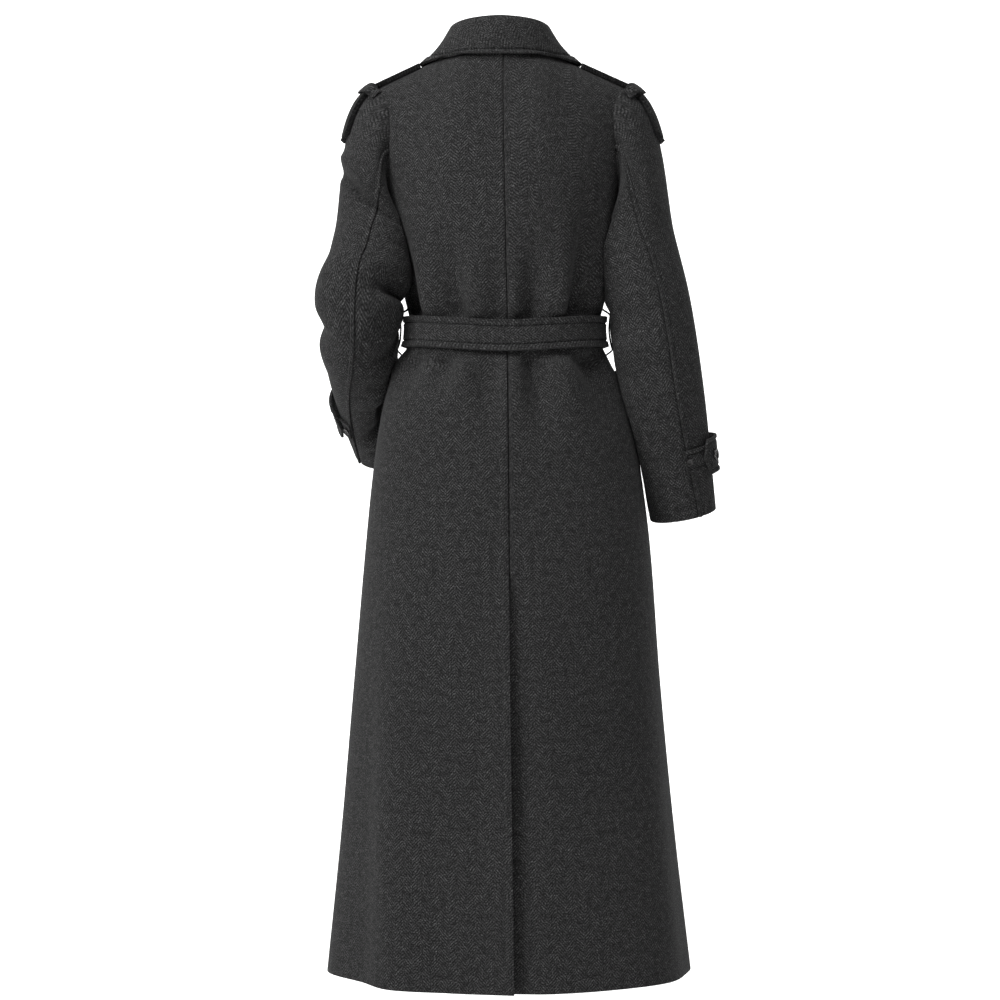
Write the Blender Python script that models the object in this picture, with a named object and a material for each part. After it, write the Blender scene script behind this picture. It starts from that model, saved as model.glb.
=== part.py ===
"""A long belted wool coat with shoulder straps, in its worn shape and empty.

Metres, +Z up. The wearer faces -Y and their left is +X. The origin lies midway between the
two shoulder seams, on the level where the shoulders hold the coat up.
"""

import functools
import math
from collections import namedtuple

import bmesh
import bpy
from mathutils import Vector

CLOTH = 0.003
BELT_CLOTH = 0.005
COLLAR_CLOTH = 0.0042
STRAP_CLOTH = 0.0065
TAB_CLOTH = 0.004
SEAM_GAP = 0.0003
LAID_GAP = 0.0008
SQUARENESS = 2.3

HEM = -1.270
ARM_LEVEL = -0.215
NECK_LEVEL = 0.025
WAIST = -0.370
BELT_HEIGHT = 0.045
BELT_DIP = 0.010
BELT_DIP_REACH = 0.16
HEM_SIDE_RISE = 0.004
HEM_CENTRE_DROP = 0.003
HEM_CURVE_TOP = -1.0

# The coat's outer outline, cut level at each height. Lean moves the section's centre to the wearer's left.
Section = namedtuple("Section", "height half_width back_depth front_depth lean")
SECTIONS = (
    Section(-1.270, 0.2560, 0.190, 0.196, -0.0060),
    Section(-1.090, 0.2365, 0.180, 0.183, -0.0045),
    Section(-0.860, 0.2155, 0.166, 0.162, -0.0030),
    Section(-0.663, 0.1995, 0.153, 0.146, -0.0040),
    Section(-0.578, 0.1900, 0.146, 0.138, -0.0030),
    Section(-0.500, 0.1785, 0.135, 0.127, -0.0020),
    Section(-0.440, 0.1625, 0.121, 0.117, 0.0005),
    Section(-0.412, 0.1505, 0.112, 0.111, 0.0030),
    Section(-0.392, 0.1390, 0.102, 0.106, 0.0),
    Section(-0.370, 0.1350, 0.100, 0.104, 0.0),
    Section(-0.346, 0.1365, 0.101, 0.106, 0.0),
    Section(-0.310, 0.1440, 0.106, 0.113, 0.0),
    Section(-0.215, 0.1580, 0.116, 0.130, 0.0020),
)

# Soft folds of the body. Facing is 1 for the back and -1 for the front, angle counts from the centre line
# to the wearer's left, drift turns it per metre downwards, and a fold is deepest at its root.
Fold = namedtuple("Fold", "facing angle drift root tip spread depth")
FOLDS = (
    Fold(1, 75, 0, -0.340, -0.150, 9, -0.0060),
    Fold(1, 53, 0, -0.335, -0.180, 9, 0.0035),
    Fold(1, 38, 0, -0.340, -0.190, 8, -0.0050),
    Fold(1, 22, 0, -0.335, -0.200, 8, 0.0030),
    Fold(1, 4, 0, -0.340, -0.230, 7, -0.0015),
    Fold(1, -9, 0, -0.335, -0.220, 7, 0.0025),
    Fold(1, -20, 0, -0.340, -0.220, 8, -0.0045),
    Fold(1, -39, 0, -0.335, -0.180, 9, 0.0040),
    Fold(1, -57, 0, -0.340, -0.120, 9, -0.0075),
    Fold(1, 63, 0, -0.415, -0.480, 9, -0.0050),
    Fold(1, 41, 0, -0.415, -0.470, 8, -0.0050),
    Fold(1, 29, 0, -0.420, -0.500, 7, 0.0030),
    Fold(1, 11, 0, -0.420, -0.560, 7, -0.0030),
    Fold(1, -9, 0, -0.420, -0.520, 7, 0.0030),
    Fold(1, -21, 0, -0.415, -0.540, 8, -0.0060),
    Fold(1, -36, 0, -0.420, -0.520, 8, 0.0040),
    Fold(1, -60, 0, -0.415, -0.520, 9, -0.0060),
    Fold(1, 57, -12, -1.300, -0.480, 10, 0.0080),
    Fold(1, 74, -13, -1.300, -0.520, 9, -0.0090),
    Fold(1, -61, 0, -1.300, -0.560, 11, 0.0050),
    Fold(1, -76, 0, -1.300, -0.700, 8, -0.0050),
    Fold(-1, 55, 0, -0.340, -0.200, 9, -0.0050),
    Fold(-1, 34, 0, -0.340, -0.190, 9, 0.0030),
    Fold(-1, -33, 0, -0.340, -0.210, 9, 0.0030),
    Fold(-1, -58, 0, -0.340, -0.180, 9, -0.0060),
    Fold(-1, 62, 0, -0.415, -0.540, 9, -0.0050),
    Fold(-1, -60, 0, -0.415, -0.560, 9, -0.0050),
    Fold(-1, 52, -6, -1.300, -0.560, 10, 0.0060),
    Fold(-1, 72, -6, -1.300, -0.620, 9, -0.0070),
    Fold(-1, -54, 6, -1.300, -0.520, 10, 0.0070),
    Fold(-1, -73, 6, -1.300, -0.600, 9, -0.0070),
)
FOLD_START = 0.022

NECK_HALF = 0.0675
NECK_SIDE_Y = 0.004
NECK_BACK = 0.060
NECK_FRONT = 0.079
NECK_SIDE_Z = 0.022
NECK_BACK_RISE = 0.004
NECK_FRONT_DROP = 0.072
SHOULDER_POINT = Vector((0.181, -0.006, -0.028))
NECK_SHARE = 0.42
NECK_SHIFT = 0.0070
SHOULDER_SHIFT = 0.0045
NECK_SLOPE_BACK = Vector((0.0, -0.35, 0.94))
NECK_SLOPE_FRONT = Vector((0.0, 0.30, 0.95))
BACK_SCOOP = 0.15
FRONT_SCOOP = 0.22
SCOOP_ROUNDNESS = 1.2

# Where the centre back seam runs, and how far each front laps past the centre line.
Line = namedtuple("Line", "height offset")
BACK_SEAM = (
    Line(-1.270, -0.012),
    Line(-0.750, -0.0055),
    Line(-0.370, -0.002),
    Line(-0.215, 0.0005),
    Line(0.025, -0.0011),
)
FRONT_LAP = (
    Line(-1.270, 0.075),
    Line(-0.215, 0.062),
    Line(0.025, 0.014),
)
VENT_TOP = -0.745
VENT_SLANT = 0.030
VENT_UNDERLAP = 0.038
VENT_FADE = 0.045
LAP_LIFT = 0.0025
LAP_DIP = 0.0045
LAP_FADE_ANGLE = 16
LAP_END_ANGLE = 70
LAP_END_FADE = 20
SEAM_STRIP_ANGLE = 5

# Rows of cells in the body panels, from the hem up.
Span = namedtuple("Span", "bottom top rows")
BODY_SPANS = (
    Span(-1.270, -0.775, 8),
    Span(-0.775, -0.745, 1),
    Span(-0.745, -0.560, 4),
    Span(-0.560, -0.425, 3),
    Span(-0.425, -0.394, 2),
    Span(-0.394, -0.346, 2),
    Span(-0.346, -0.215, 4),
    Span(-0.215, 0.0248, 8),
)
BACK_COLUMNS = 11
FRONT_COLUMNS = 10

# Sleeves. Each station is a section across the arm, x measured outwards from the centre plane. The right
# arm hangs straight. The left one is bent, its cuff in front of the pocket.
Station = namedtuple("Station", "x y z across deep")
ARMS = {
    1: (
        Station(0.1820, 0.008, -0.245, 0.0600, 0.066),
        Station(0.1900, 0.022, -0.280, 0.0600, 0.065),
        Station(0.2030, 0.034, -0.315, 0.0600, 0.064),
        Station(0.2035, 0.030, -0.352, 0.0575, 0.064),
        Station(0.1985, -0.020, -0.415, 0.0540, 0.058),
        Station(0.1870, -0.085, -0.477, 0.0500, 0.052),
        Station(0.1750, -0.140, -0.527, 0.0455, 0.0465),
    ),
    -1: (
        Station(0.1800, 0.006, -0.255, 0.0625, 0.066),
        Station(0.1995, 0.020, -0.330, 0.0605, 0.061),
        Station(0.2200, 0.028, -0.465, 0.0600, 0.055),
        Station(0.2355, 0.017, -0.548, 0.0540, 0.051),
        Station(0.2510, 0.002, -0.626, 0.0470, 0.0475),
    ),
}
# Where the back seam of the sleeve runs: 0 is the outer side, 90 the back. Run counts 0 to 1 over the
# sleeve head and 1 to 2 down to the cuff.
SleeveSeam = namedtuple("SleeveSeam", "run angle")
BACK_SEAMS = {
    1: (
        SleeveSeam(0.0, 112),
        SleeveSeam(1.0, 88),
        SleeveSeam(1.35, 84),
        SleeveSeam(1.6, 64),
        SleeveSeam(2.0, 40),
    ),
    -1: (
        SleeveSeam(0.0, 108),
        SleeveSeam(1.0, 78),
        SleeveSeam(1.35, 74),
        SleeveSeam(1.6, 72),
        SleeveSeam(2.0, 64),
    ),
}
FRONT_SEAM_TURN = 186
ArmRow = namedtuple("ArmRow", "share x y z across deep")
# Folds of the sleeves: place, length along and round, slant in degrees per unit of run, and depth.
SleeveFold = namedtuple("SleeveFold", "hand run angle long wide slant depth")
SLEEVE_FOLDS = (
    SleeveFold(1, 0.62, 62, 0.10, 26, 150, 0.0050),
    SleeveFold(1, 0.80, 66, 0.09, 26, 150, -0.0060),
    SleeveFold(1, 1.25, 0, 0.05, 40, 60, 0.0030),
    SleeveFold(1, 1.345, 5, 0.040, 42, 60, -0.0070),
    SleeveFold(1, 1.44, 5, 0.055, 40, 60, 0.0040),
    SleeveFold(1, 1.13, 150, 0.040, 40, -90, 0.0060),
    SleeveFold(1, 1.22, 150, 0.035, 40, -90, -0.0080),
    SleeveFold(1, 1.30, 150, 0.040, 40, -90, 0.0070),
    SleeveFold(1, 1.39, 152, 0.035, 40, -90, -0.0080),
    SleeveFold(1, 1.47, 150, 0.045, 40, -90, 0.0060),
    SleeveFold(-1, 0.70, 58, 0.16, 16, 20, 0.0040),
    SleeveFold(-1, 0.78, 96, 0.18, 18, 20, -0.0040),
    SleeveFold(-1, 1.28, 130, 0.05, 34, -60, -0.0040),
    SleeveFold(-1, 1.38, 126, 0.05, 34, -60, 0.0030),
    SleeveFold(-1, 1.47, 120, 0.04, 34, -60, -0.0030),
)
HEAD_REACH = 0.175
ARMPIT_REACH = 0.030
HEAD_RUN = 0.165
ARMPIT_RUN = 0.040
HEAD_SLOPE = Vector((0.90, 0.0, -0.43))
ARMPIT_SLOPE = Vector((0.72, 0.0, -0.70))
PITCH_SPREAD = 0.45
SLEEVE_CLEAR = 0.0014
POCKET_CLEAR = 0.0090
BELT_CLEAR = 0.0165
BELT_CLEAR_MIDDLE = -0.385
BELT_CLEAR_REACH = 0.058
BELT_CLEAR_HEAD_FADE = 0.022
BELT_CLEAR_FOOT_FADE = 0.058
CLEAR_START = 0.30
CLEAR_SOFT = 0.0035
ARMHOLE_GAP = 0.0012
SLEEVE_SEAM_GAP = 0.0012
HEAD_ROWS = 8
TUBE_ROWS = 16
UPPER_COLUMNS = 10
UNDER_COLUMNS = 8

# Collar. The stand rises from the neckline and the fall rolls over it and lies on the shoulders. Azimuth
# counts from the centre back. Angle and share place the fall's edge on the body.
CollarRow = namedtuple("CollarRow", "azimuth rise out angle share")
COLLAR = (
    CollarRow(0, 0.0350, -0.002, 0, 0.94),
    CollarRow(25, 0.0340, -0.002, 16.5, 0.905),
    CollarRow(45, 0.0330, -0.002, 29.5, 0.86),
    CollarRow(62, 0.0317, -0.002, 42, 0.84),
    CollarRow(77, 0.0302, -0.002, 51.5, 0.89),
    CollarRow(90, 0.0285, -0.002, 58.5, 1.00),
    CollarRow(135, 0.0280, 0.001, 50, 0.82),
    CollarRow(180, 0.0260, 0.004, 24, 0.58),
)
COLLAR_END = 176
ROLL = 0.0055
ROLL_OFFSET = 0.0015
ROLL_SHARE = 0.4
ROLL_TURN = 150
FALL_SPRING = 0.05
STAND_GAP = 0.0012
FALL_LIFT = 0.0018
COLLAR_COLUMNS = 28
STAND_ROWS = 2
FALL_ROWS = 10

# Shoulder straps lie along the shoulder seam and over the sleeve head, each under a short loop.
STRAP_START_ANGLE = 60.5
STRAP_END_RUN = 0.41
STRAP_SEAM_SHARE = 0.43
STRAP_HALF = 0.0225
STRAP_REACH = 0.22
STRAP_TURN = 18.5
LOOP_START_RUN = 0.012
LOOP_END_RUN = 0.105
LOOP_HALF = 0.042
LOOP_CREST = 0.0245
LOOP_FOOT = 0.034
STRAP_COLUMNS = 4
STRAP_ROWS = 14
LOOP_COLUMNS = 14
LOOP_ROWS = 2

# The belt goes round the waist and is tied at the front. Its tails hang from the knot.
BELT_END = 179.7
BELT_COLUMNS = 48
BELT_ROWS = 2
TAIL_COLUMNS = 2
TAIL_ROWS = 10
CARRIER_ROWS = 16
BELT_LIFT = 0.0030
KNOT_SIZE = Vector((0.052, 0.020, 0.050))
KNOT_ROUND = 0.007
TAIL_TOP = -0.3945
TAIL_LENGTHS = {1: 0.34, -1: 0.39}
TAIL_CENTRE = 0.0245
TAIL_SPLAY = 0.022
CARRIER_TOP = -0.336
CARRIER_FOOT = -0.404
CARRIER_HALF_ANGLE = 0.9
CARRIER_CLOTH = 0.0015
CARRIER_ROOM = 0.0028
CARRIER_RAMP = 0.16

# Cuff straps run from the back seam round the outer side. A pointed tab lies over each and stands off it.
STRAP_FROM_CUFF = 0.080
STRAP_HEIGHT = 0.032
STRAP_ROUND = 180
STRAP_SEAM_TURNS = {1: 1, -1: -7}
STRAP_LAID = 0.003
TAB_HEIGHT = 0.049
TAB_TIP_TURNS = {1: 14, -1: 22}
TAB_ROUND = 96
TAB_POINT_TURN = 10
TAB_STAND = 0.0015
TAB_BUTTON_TURNS = {1: 62, -1: 46}
STRAP_BUTTON_TURN = 6
TAB_BUTTON_RADIUS = 0.008
STRAP_BUTTON_RADIUS = 0.0058
BUTTON_THICK = 0.003
BUTTON_ROUND = 0.0008
BUTTON_SIDES = 20
CUFF_STRAP_COLUMNS = 12
TAB_COLUMNS = 8
TAB_ROWS = 4

# Slanted pocket welts lie on the fronts below the belt.
WELT_TOP = -0.425
WELT_FOOT = -0.610
WELT_TOP_ANGLE = 82
WELT_FOOT_ANGLE = 62
WELT_WIDTH = 0.036
WELT_CLOTH = 0.004
WELT_COLUMNS = 3
WELT_ROWS = 8

# How far apart points are taken where a slope or the way out of the cloth is found.
FINE_STEP = 0.0005
BODY_STEP = 0.02
RISE_STEP = 0.01
ARM_STEP = 0.02
TURN_STEP = 0.5
NEAR_TURN = 8
NEAR_RISE = 0.004

WOOL = (0.045, 0.045, 0.047)
HORN = (0.02, 0.018, 0.017)
WOOL_ROUGHNESS = 0.9
HORN_ROUGHNESS = 0.4


def ease(value):
    """0 to 1 on a soft step."""
    value = min(max(value, 0.0), 1.0)
    return value * value * (3 - 2 * value)


def bell(value):
    """1 at the middle and 0 from two widths away, on a soft hump."""
    return ease(1 - abs(value) / 2)


def hermite(start, start_slope, end, end_slope, share):
    """A point on the curve that leaves start and reaches end on the given slopes."""
    s2, s3 = share * share, share ** 3
    return (start * (2 * s3 - 3 * s2 + 1) + start_slope * (s3 - 2 * s2 + share)
            + end * (3 * s2 - 2 * s3) + end_slope * (s3 - s2))


def column(rows, name, at):
    """The named column of a table where its first column is `at`, on a smooth curve through the rows."""
    keys = [row[0] for row in rows]
    values = [getattr(row, name) for row in rows]
    at = min(max(at, keys[0]), keys[-1])
    index = max(i for i in range(len(keys) - 1) if keys[i] <= at)
    slopes = [(values[i + 1] - values[i]) / (keys[i + 1] - keys[i]) for i in range(len(keys) - 1)]
    before = slopes[max(index - 1, 0)]
    after = slopes[min(index + 1, len(slopes) - 1)]
    width = keys[index + 1] - keys[index]
    start_slope = (before + slopes[index]) / 2 * width
    end_slope = (slopes[index] + after) / 2 * width
    return hermite(values[index], start_slope, values[index + 1], end_slope, (at - keys[index]) / width)


@functools.lru_cache(maxsize=None)
def section(height):
    return [column(SECTIONS, name, height) for name in Section._fields[1:]]


def belt_dip(facing, angle, height):
    """How much lower the waist lies at the back."""
    near = bell((height - WAIST) / BELT_DIP_REACH)
    return BELT_DIP * near * math.cos(math.radians(angle)) ** 2 if facing > 0 else 0.0


def plain_radius(facing, angle, height):
    """From the section's centre to the outer cloth, without the folds."""
    half_width, back_depth, front_depth, lean = section(height + belt_dip(facing, angle, height))
    depth = back_depth if facing > 0 else front_depth
    sideways = abs(math.sin(math.radians(angle))) / half_width
    lengthways = abs(math.cos(math.radians(angle))) / depth
    return (sideways ** SQUARENESS + lengthways ** SQUARENESS) ** (-1 / SQUARENESS)


def fold_depth(facing, angle, height):
    """How far the folds move the cloth out, or in where it is less than 0."""
    total = 0.0
    height += belt_dip(facing, angle, height)
    for fold in FOLDS:
        if fold.facing != facing:
            continue
        centre = fold.angle + fold.drift * (fold.tip - height)
        strength = (height - fold.tip) / (fold.root - fold.tip)
        if fold.root > HEM:
            past_root = abs(height - fold.tip) - abs(fold.root - fold.tip)
            strength = min(strength, 1 - past_root / FOLD_START)
        total += fold.depth * ease(strength) * bell((angle - centre) / fold.spread)
    return total


def radius(facing, angle, height):
    return plain_radius(facing, angle, height) + fold_depth(facing, angle, height)


def ring(facing, angle, height, extra=0.0):
    """A point of the body below the armholes."""
    reach = radius(facing, angle, height) + extra
    turn = math.radians(angle)
    lean = section(height)[3]
    near_hem = ease((HEM_CURVE_TOP - height) / (HEM_CURVE_TOP - HEM))
    curve = near_hem * (HEM_SIDE_RISE * math.sin(turn) ** 2 - HEM_CENTRE_DROP * math.cos(turn) ** 2)
    return Vector((lean + reach * math.sin(turn), facing * reach * math.cos(turn), height + curve))


def top_edge(facing, share):
    """The neckline from the centre line, then the shoulder seam out to the shoulder point."""
    if share <= NECK_SHARE:
        turn = math.radians(90 * share / NECK_SHARE)
        depth, rise = (NECK_BACK, NECK_BACK_RISE) if facing > 0 else (NECK_FRONT, -NECK_FRONT_DROP)
        side = Vector((NECK_HALF * math.sin(turn), NECK_SIDE_Y, NECK_SIDE_Z))
        return side + Vector((0.0, facing * depth, rise)) * math.cos(turn)
    neck_point = Vector((NECK_HALF, NECK_SIDE_Y, NECK_SIDE_Z))
    return neck_point.lerp(SHOULDER_POINT, (share - NECK_SHARE) / (1 - NECK_SHARE))


def top_shift(share):
    """How far the neck and shoulders lean to the wearer's left."""
    past = max(share - NECK_SHARE, 0.0) / (1 - NECK_SHARE)
    return NECK_SHIFT + (SHOULDER_SHIFT - NECK_SHIFT) * past


def top_slope(facing, share):
    """The way the cloth runs where it reaches the top edge."""
    neck = NECK_SLOPE_BACK if facing > 0 else NECK_SLOPE_FRONT
    shoulder = Vector((0.0, -facing, 0.0))
    return neck.lerp(shoulder, ease(share / NECK_SHARE))


def body(facing, angle, level, extra=0.0):
    """A point of the outer cloth of the body. Levels above the armpit run on to the neckline and shoulder."""
    if level <= ARM_LEVEL:
        return ring(facing, angle, level, extra)
    share = (level - ARM_LEVEL) / (NECK_LEVEL - ARM_LEVEL)
    hand = -1 if angle < 0 else 1
    start = ring(facing, angle, ARM_LEVEL)
    rise = (start - ring(facing, angle, ARM_LEVEL - RISE_STEP)) / RISE_STEP
    across = min(abs(angle) / 90, 1.0)
    end = top_edge(facing, across)
    slope = top_slope(facing, across)
    end.x = end.x * hand + top_shift(across)
    length = (end - start).length
    point = hermite(start, rise * length, end, slope * length, share)
    if extra:
        outward = Vector((point.x, point.y, 0)).normalized()
        point += outward * extra
    return point


def armhole_angle(facing, level):
    """Where a body panel ends: at the side seam, or at the armhole above it."""
    if level <= ARM_LEVEL:
        return 90.0
    share = (level - ARM_LEVEL) / (NECK_LEVEL - ARM_LEVEL)
    scoop = BACK_SCOOP if facing > 0 else FRONT_SCOOP
    return 90 * (1 - scoop * math.sin(math.pi * min(share, 1.0)) ** SCOOP_ROUNDNESS)


def make_material(name, colour, roughness):
    material = bpy.data.materials.new(name)
    material.use_nodes = True
    shader = material.node_tree.nodes["Principled BSDF"]
    shader.inputs["Base Color"].default_value = (*colour, 1)
    shader.inputs["Roughness"].default_value = roughness
    return material


def finish(name, bm, colour=WOOL, roughness=WOOL_ROUGHNESS):
    bmesh.ops.recalc_face_normals(bm, faces=bm.faces[:])
    if bm.calc_volume(signed=True) < 0:
        bmesh.ops.reverse_faces(bm, faces=bm.faces[:])
    mesh = bpy.data.meshes.new(name)
    bm.to_mesh(mesh)
    bm.free()
    mesh.materials.append(make_material(name + "_material", colour, roughness))
    coat.objects.link(bpy.data.objects.new(name, mesh))


def out_of(place, u, v, hand, step=FINE_STEP):
    """The way out of the cloth at a point of a sheet. The step across may be wide, the one along is fine."""
    low_u, high_u = max(u - step, 0.0), min(u + step, 1.0)
    low_v, high_v = max(v - FINE_STEP, 0.0), min(v + FINE_STEP, 1.0)
    along_u = place(high_u, v) - place(low_u, v)
    along_v = place(u, high_v) - place(u, low_v)
    return along_u.cross(along_v).normalized() * hand


def sheet(name, columns, rows, place, thickness, hand=1, lift=None, step=FINE_STEP):
    """A cloth wall on place(u, v), its outer face lifted by lift(u, v)."""
    bm = bmesh.new()
    bmesh.ops.create_grid(bm, x_segments=columns, y_segments=rows, size=0.5)
    made = bmesh.ops.extrude_face_region(bm, geom=bm.faces[:])
    outer = {vert for vert in made["geom"] if isinstance(vert, bmesh.types.BMVert)}
    for vert in bm.verts:
        u, v = vert.co.x + 0.5, vert.co.y + 0.5
        raised = lift(u, v) if lift else 0.0
        depth = raised if vert in outer else raised - thickness
        vert.co = place(u, v) + out_of(place, u, v, hand, step) * depth
    finish(name, bm)


def levels_of(spans):
    levels = [spans[0].bottom]
    for span in spans:
        for row in range(span.rows):
            levels.append(span.bottom + (span.top - span.bottom) * (row + 1) / span.rows)
    return levels


def level_at(levels, v):
    at = v * (len(levels) - 1)
    index = min(int(at), len(levels) - 2)
    return levels[index] + (levels[index + 1] - levels[index]) * (at - index)


for item in list(bpy.data.objects):
    bpy.data.objects.remove(item)
coat = bpy.data.collections.new("wool_coat")
bpy.context.scene.collection.children.link(coat)

# The two backs meet on the centre seam. Below the vent's top the left back laps over the right one.
body_levels = levels_of(BODY_SPANS)


def gap_angle(facing, angle, level):
    """A seam gap as an angle."""
    return math.degrees(SEAM_GAP / body(facing, angle, level).xy.length)


def seam_angle(level):
    offset = column(BACK_SEAM, "offset", level) - section(min(level, ARM_LEVEL))[3]
    return math.degrees(math.atan2(offset, section(min(level, ARM_LEVEL))[1]))


def vent_share(level):
    """0 on the closed seam, 1 on the open vent."""
    return ease((VENT_TOP + VENT_FADE - level) / VENT_FADE)


def back_left(u, v):
    level = level_at(body_levels, v)
    inner = seam_angle(level)
    inner += gap_angle(1, inner, level)
    outer = armhole_angle(1, level) - gap_angle(1, 90, level)
    angle = inner + (outer - inner) * u
    near = ease(1 - (angle - inner) / LAP_FADE_ANGLE)
    return body(1, angle, level, LAP_LIFT * vent_share(level) * near)


def back_right(u, v):
    level = level_at(body_levels, v)
    seam = seam_angle(level)
    inner = seam - gap_angle(1, seam, level)
    reach = math.degrees(VENT_UNDERLAP / section(min(level, ARM_LEVEL))[1])
    inner += reach * min(max((VENT_TOP - level) / VENT_SLANT, 0.0), 1.0)
    outer = -armhole_angle(1, level) + gap_angle(1, 90, level)
    edge_share = 1 / BACK_COLUMNS
    beside = seam - SEAM_STRIP_ANGLE
    if u < edge_share:
        angle = inner + (beside - inner) * u / edge_share
    else:
        angle = beside + (outer - beside) * (u - edge_share) / (1 - edge_share)
    near = ease(1 - (seam - angle) / LAP_FADE_ANGLE)
    return body(1, angle, level, -LAP_DIP * vent_share(level) * near)


body_rows = len(body_levels) - 1
sheet("back_left", BACK_COLUMNS, body_rows, back_left, CLOTH, -1, step=BODY_STEP)
sheet("back_right", BACK_COLUMNS, body_rows, back_right, CLOTH, 1, step=BODY_STEP)


# The fronts are closed to the neck. The right front laps over the left one.
def lap_angle(level):
    depth = section(min(level, ARM_LEVEL))[2]
    return math.degrees(math.atan2(column(FRONT_LAP, "offset", level), depth))


def front_right(u, v):
    level = level_at(body_levels, v)
    inner = lap_angle(level)
    outer = -armhole_angle(-1, level) + gap_angle(-1, 90, level)
    angle = inner + (outer - inner) * u
    near = ease((angle + inner + LAP_FADE_ANGLE) / LAP_FADE_ANGLE)
    return body(-1, angle, level, LAP_LIFT * near)


def front_left(u, v):
    level = level_at(body_levels, v)
    inner = -lap_angle(level)
    outer = armhole_angle(-1, level) - gap_angle(-1, 90, level)
    angle = inner + (outer - inner) * u
    near = ease((LAP_FADE_ANGLE - inner - angle) / LAP_FADE_ANGLE)
    return body(-1, angle, level, -LAP_DIP * near)


sheet("front_right", FRONT_COLUMNS, body_rows, front_right, CLOTH, -1, step=BODY_STEP)
sheet("front_left", FRONT_COLUMNS, body_rows, front_left, CLOTH, 1, step=BODY_STEP)

# The two-piece sleeves.
@functools.lru_cache(maxsize=None)
def arm_lengths(hand):
    """How far along the arm each station lies, as a share, and the whole length."""
    points = [Vector(row[:3]) for row in ARMS[hand]]
    lengths = [0.0]
    for first, second in zip(points, points[1:]):
        lengths.append(lengths[-1] + (second - first).length)
    return [length / lengths[-1] for length in lengths], lengths[-1]


@functools.lru_cache(maxsize=None)
def arm_at(hand, share):
    rows = tuple(ArmRow(at, *station) for at, station in zip(arm_lengths(hand)[0], ARMS[hand]))
    return [column(rows, name, share) for name in ArmRow._fields[1:]]


@functools.lru_cache(maxsize=None)
def arm_frame(hand, share):
    """Centre, way along, way out and way back of a section of the sleeve, and its two half sizes."""
    low, high = max(share - ARM_STEP, 0.0), min(share + ARM_STEP, 1.0)
    x, y, z, across, deep = arm_at(hand, share)
    along = (Vector(arm_at(hand, high)[:3]) - Vector(arm_at(hand, low)[:3])).normalized()
    out = Vector((1, 0, 0))
    out = (out - along * out.dot(along)).normalized()
    back = out.cross(along).normalized()
    return Vector((x, y, z)), along, out, back, across, deep


def arm_ring(hand, angle, share):
    centre, along, out, back, across, deep = arm_frame(hand, share)
    turn = math.radians(angle)
    return centre + out * across * math.cos(turn) + back * deep * math.sin(turn)


def armhole(angle, hand):
    """A point of the armhole, from the shoulder point (0) by the back to the armpit (180), then the front."""
    angle %= 360
    facing = 1 if angle <= 180 else -1
    share = 1 - angle / 180 if facing > 0 else (angle - 180) / 180
    level = ARM_LEVEL + (NECK_LEVEL - ARM_LEVEL) * share
    point = body(facing, hand * armhole_angle(facing, level), level)
    point.x *= hand
    return point


def keep_clear(point, hand, run):
    """Moves a point of the sleeve out of the body and the belt that it hangs against."""
    above = max(point.z - ARM_LEVEL, 0.0)
    height = min(point.z, ARM_LEVEL)
    facing = 1 if point.y >= 0 else -1
    lean = section(height)[3] * hand
    flat = Vector((point.x - lean, point.y))
    angle = math.degrees(math.atan2(flat.x, abs(flat.y)))
    beside = POCKET_CLEAR if facing < 0 else SLEEVE_CLEAR
    fade = BELT_CLEAR_HEAD_FADE if point.z > BELT_CLEAR_MIDDLE else BELT_CLEAR_FOOT_FADE
    near_belt = ease((BELT_CLEAR_REACH - abs(point.z - BELT_CLEAR_MIDDLE)) / fade)
    room = beside + (BELT_CLEAR - beside) * near_belt
    room *= min(run / CLEAR_START, 1.0)
    limit = radius(facing, angle * hand, height) + room + SEAM_GAP - above
    gap = flat.length - limit
    if gap > CLEAR_SOFT:
        return point
    pushed = max(gap, 0.0)
    if run > CLEAR_START:
        pushed = CLEAR_SOFT * math.exp(min((gap - CLEAR_SOFT) / CLEAR_SOFT, 0.0))
    flat *= (limit + pushed) / flat.length
    return Vector((flat.x + lean, flat.y, point.z))


def sleeve_fold(hand, angle, run):
    total = 0.0
    for fold in SLEEVE_FOLDS:
        if fold.hand != hand:
            continue
        centre = fold.angle + fold.slant * (run - fold.run)
        apart = (angle - centre + 180) % 360 - 180
        total += fold.depth * bell(apart / fold.wide) * bell((run - fold.run) / fold.long)
    return total


def sleeve(hand, angle, run):
    """A point of the outer cloth of a sleeve."""
    if run >= 1:
        share = run - 1
        point = arm_ring(hand, angle, share)
        middle = arm_frame(hand, share)[0]
    else:
        top = (1 + math.cos(math.radians(angle))) / 2
        slope = ARMPIT_SLOPE.lerp(HEAD_SLOPE, top)
        slope.y = PITCH_SPREAD * math.sin(math.radians(angle))
        start = armhole(angle, hand) + slope.normalized() * ARMHOLE_GAP
        end = keep_clear(arm_ring(hand, angle, 0.0), hand, 1.0)
        along = arm_frame(hand, 0.0)[1]
        reach = ARMPIT_REACH + (HEAD_REACH - ARMPIT_REACH) * top
        length = ARMPIT_RUN + (HEAD_RUN - ARMPIT_RUN) * top
        point = hermite(start, slope * reach, end, along * length, run)
        middle = armhole(0, hand).lerp(armhole(180, hand), 0.5).lerp(arm_frame(hand, 0.0)[0], run)
    point += (point - middle).normalized() * sleeve_fold(hand, angle, run)
    point = keep_clear(point, hand, run)
    point.x *= hand
    return point


def sleeve_seam(hand, run):
    return column(BACK_SEAMS[hand], "angle", run)


def sleeve_run(v):
    """More of the rows lie along the tube than over the head."""
    row = v * (HEAD_ROWS + TUBE_ROWS)
    return row / HEAD_ROWS if row < HEAD_ROWS else 1 + (row - HEAD_ROWS) / TUBE_ROWS


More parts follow.
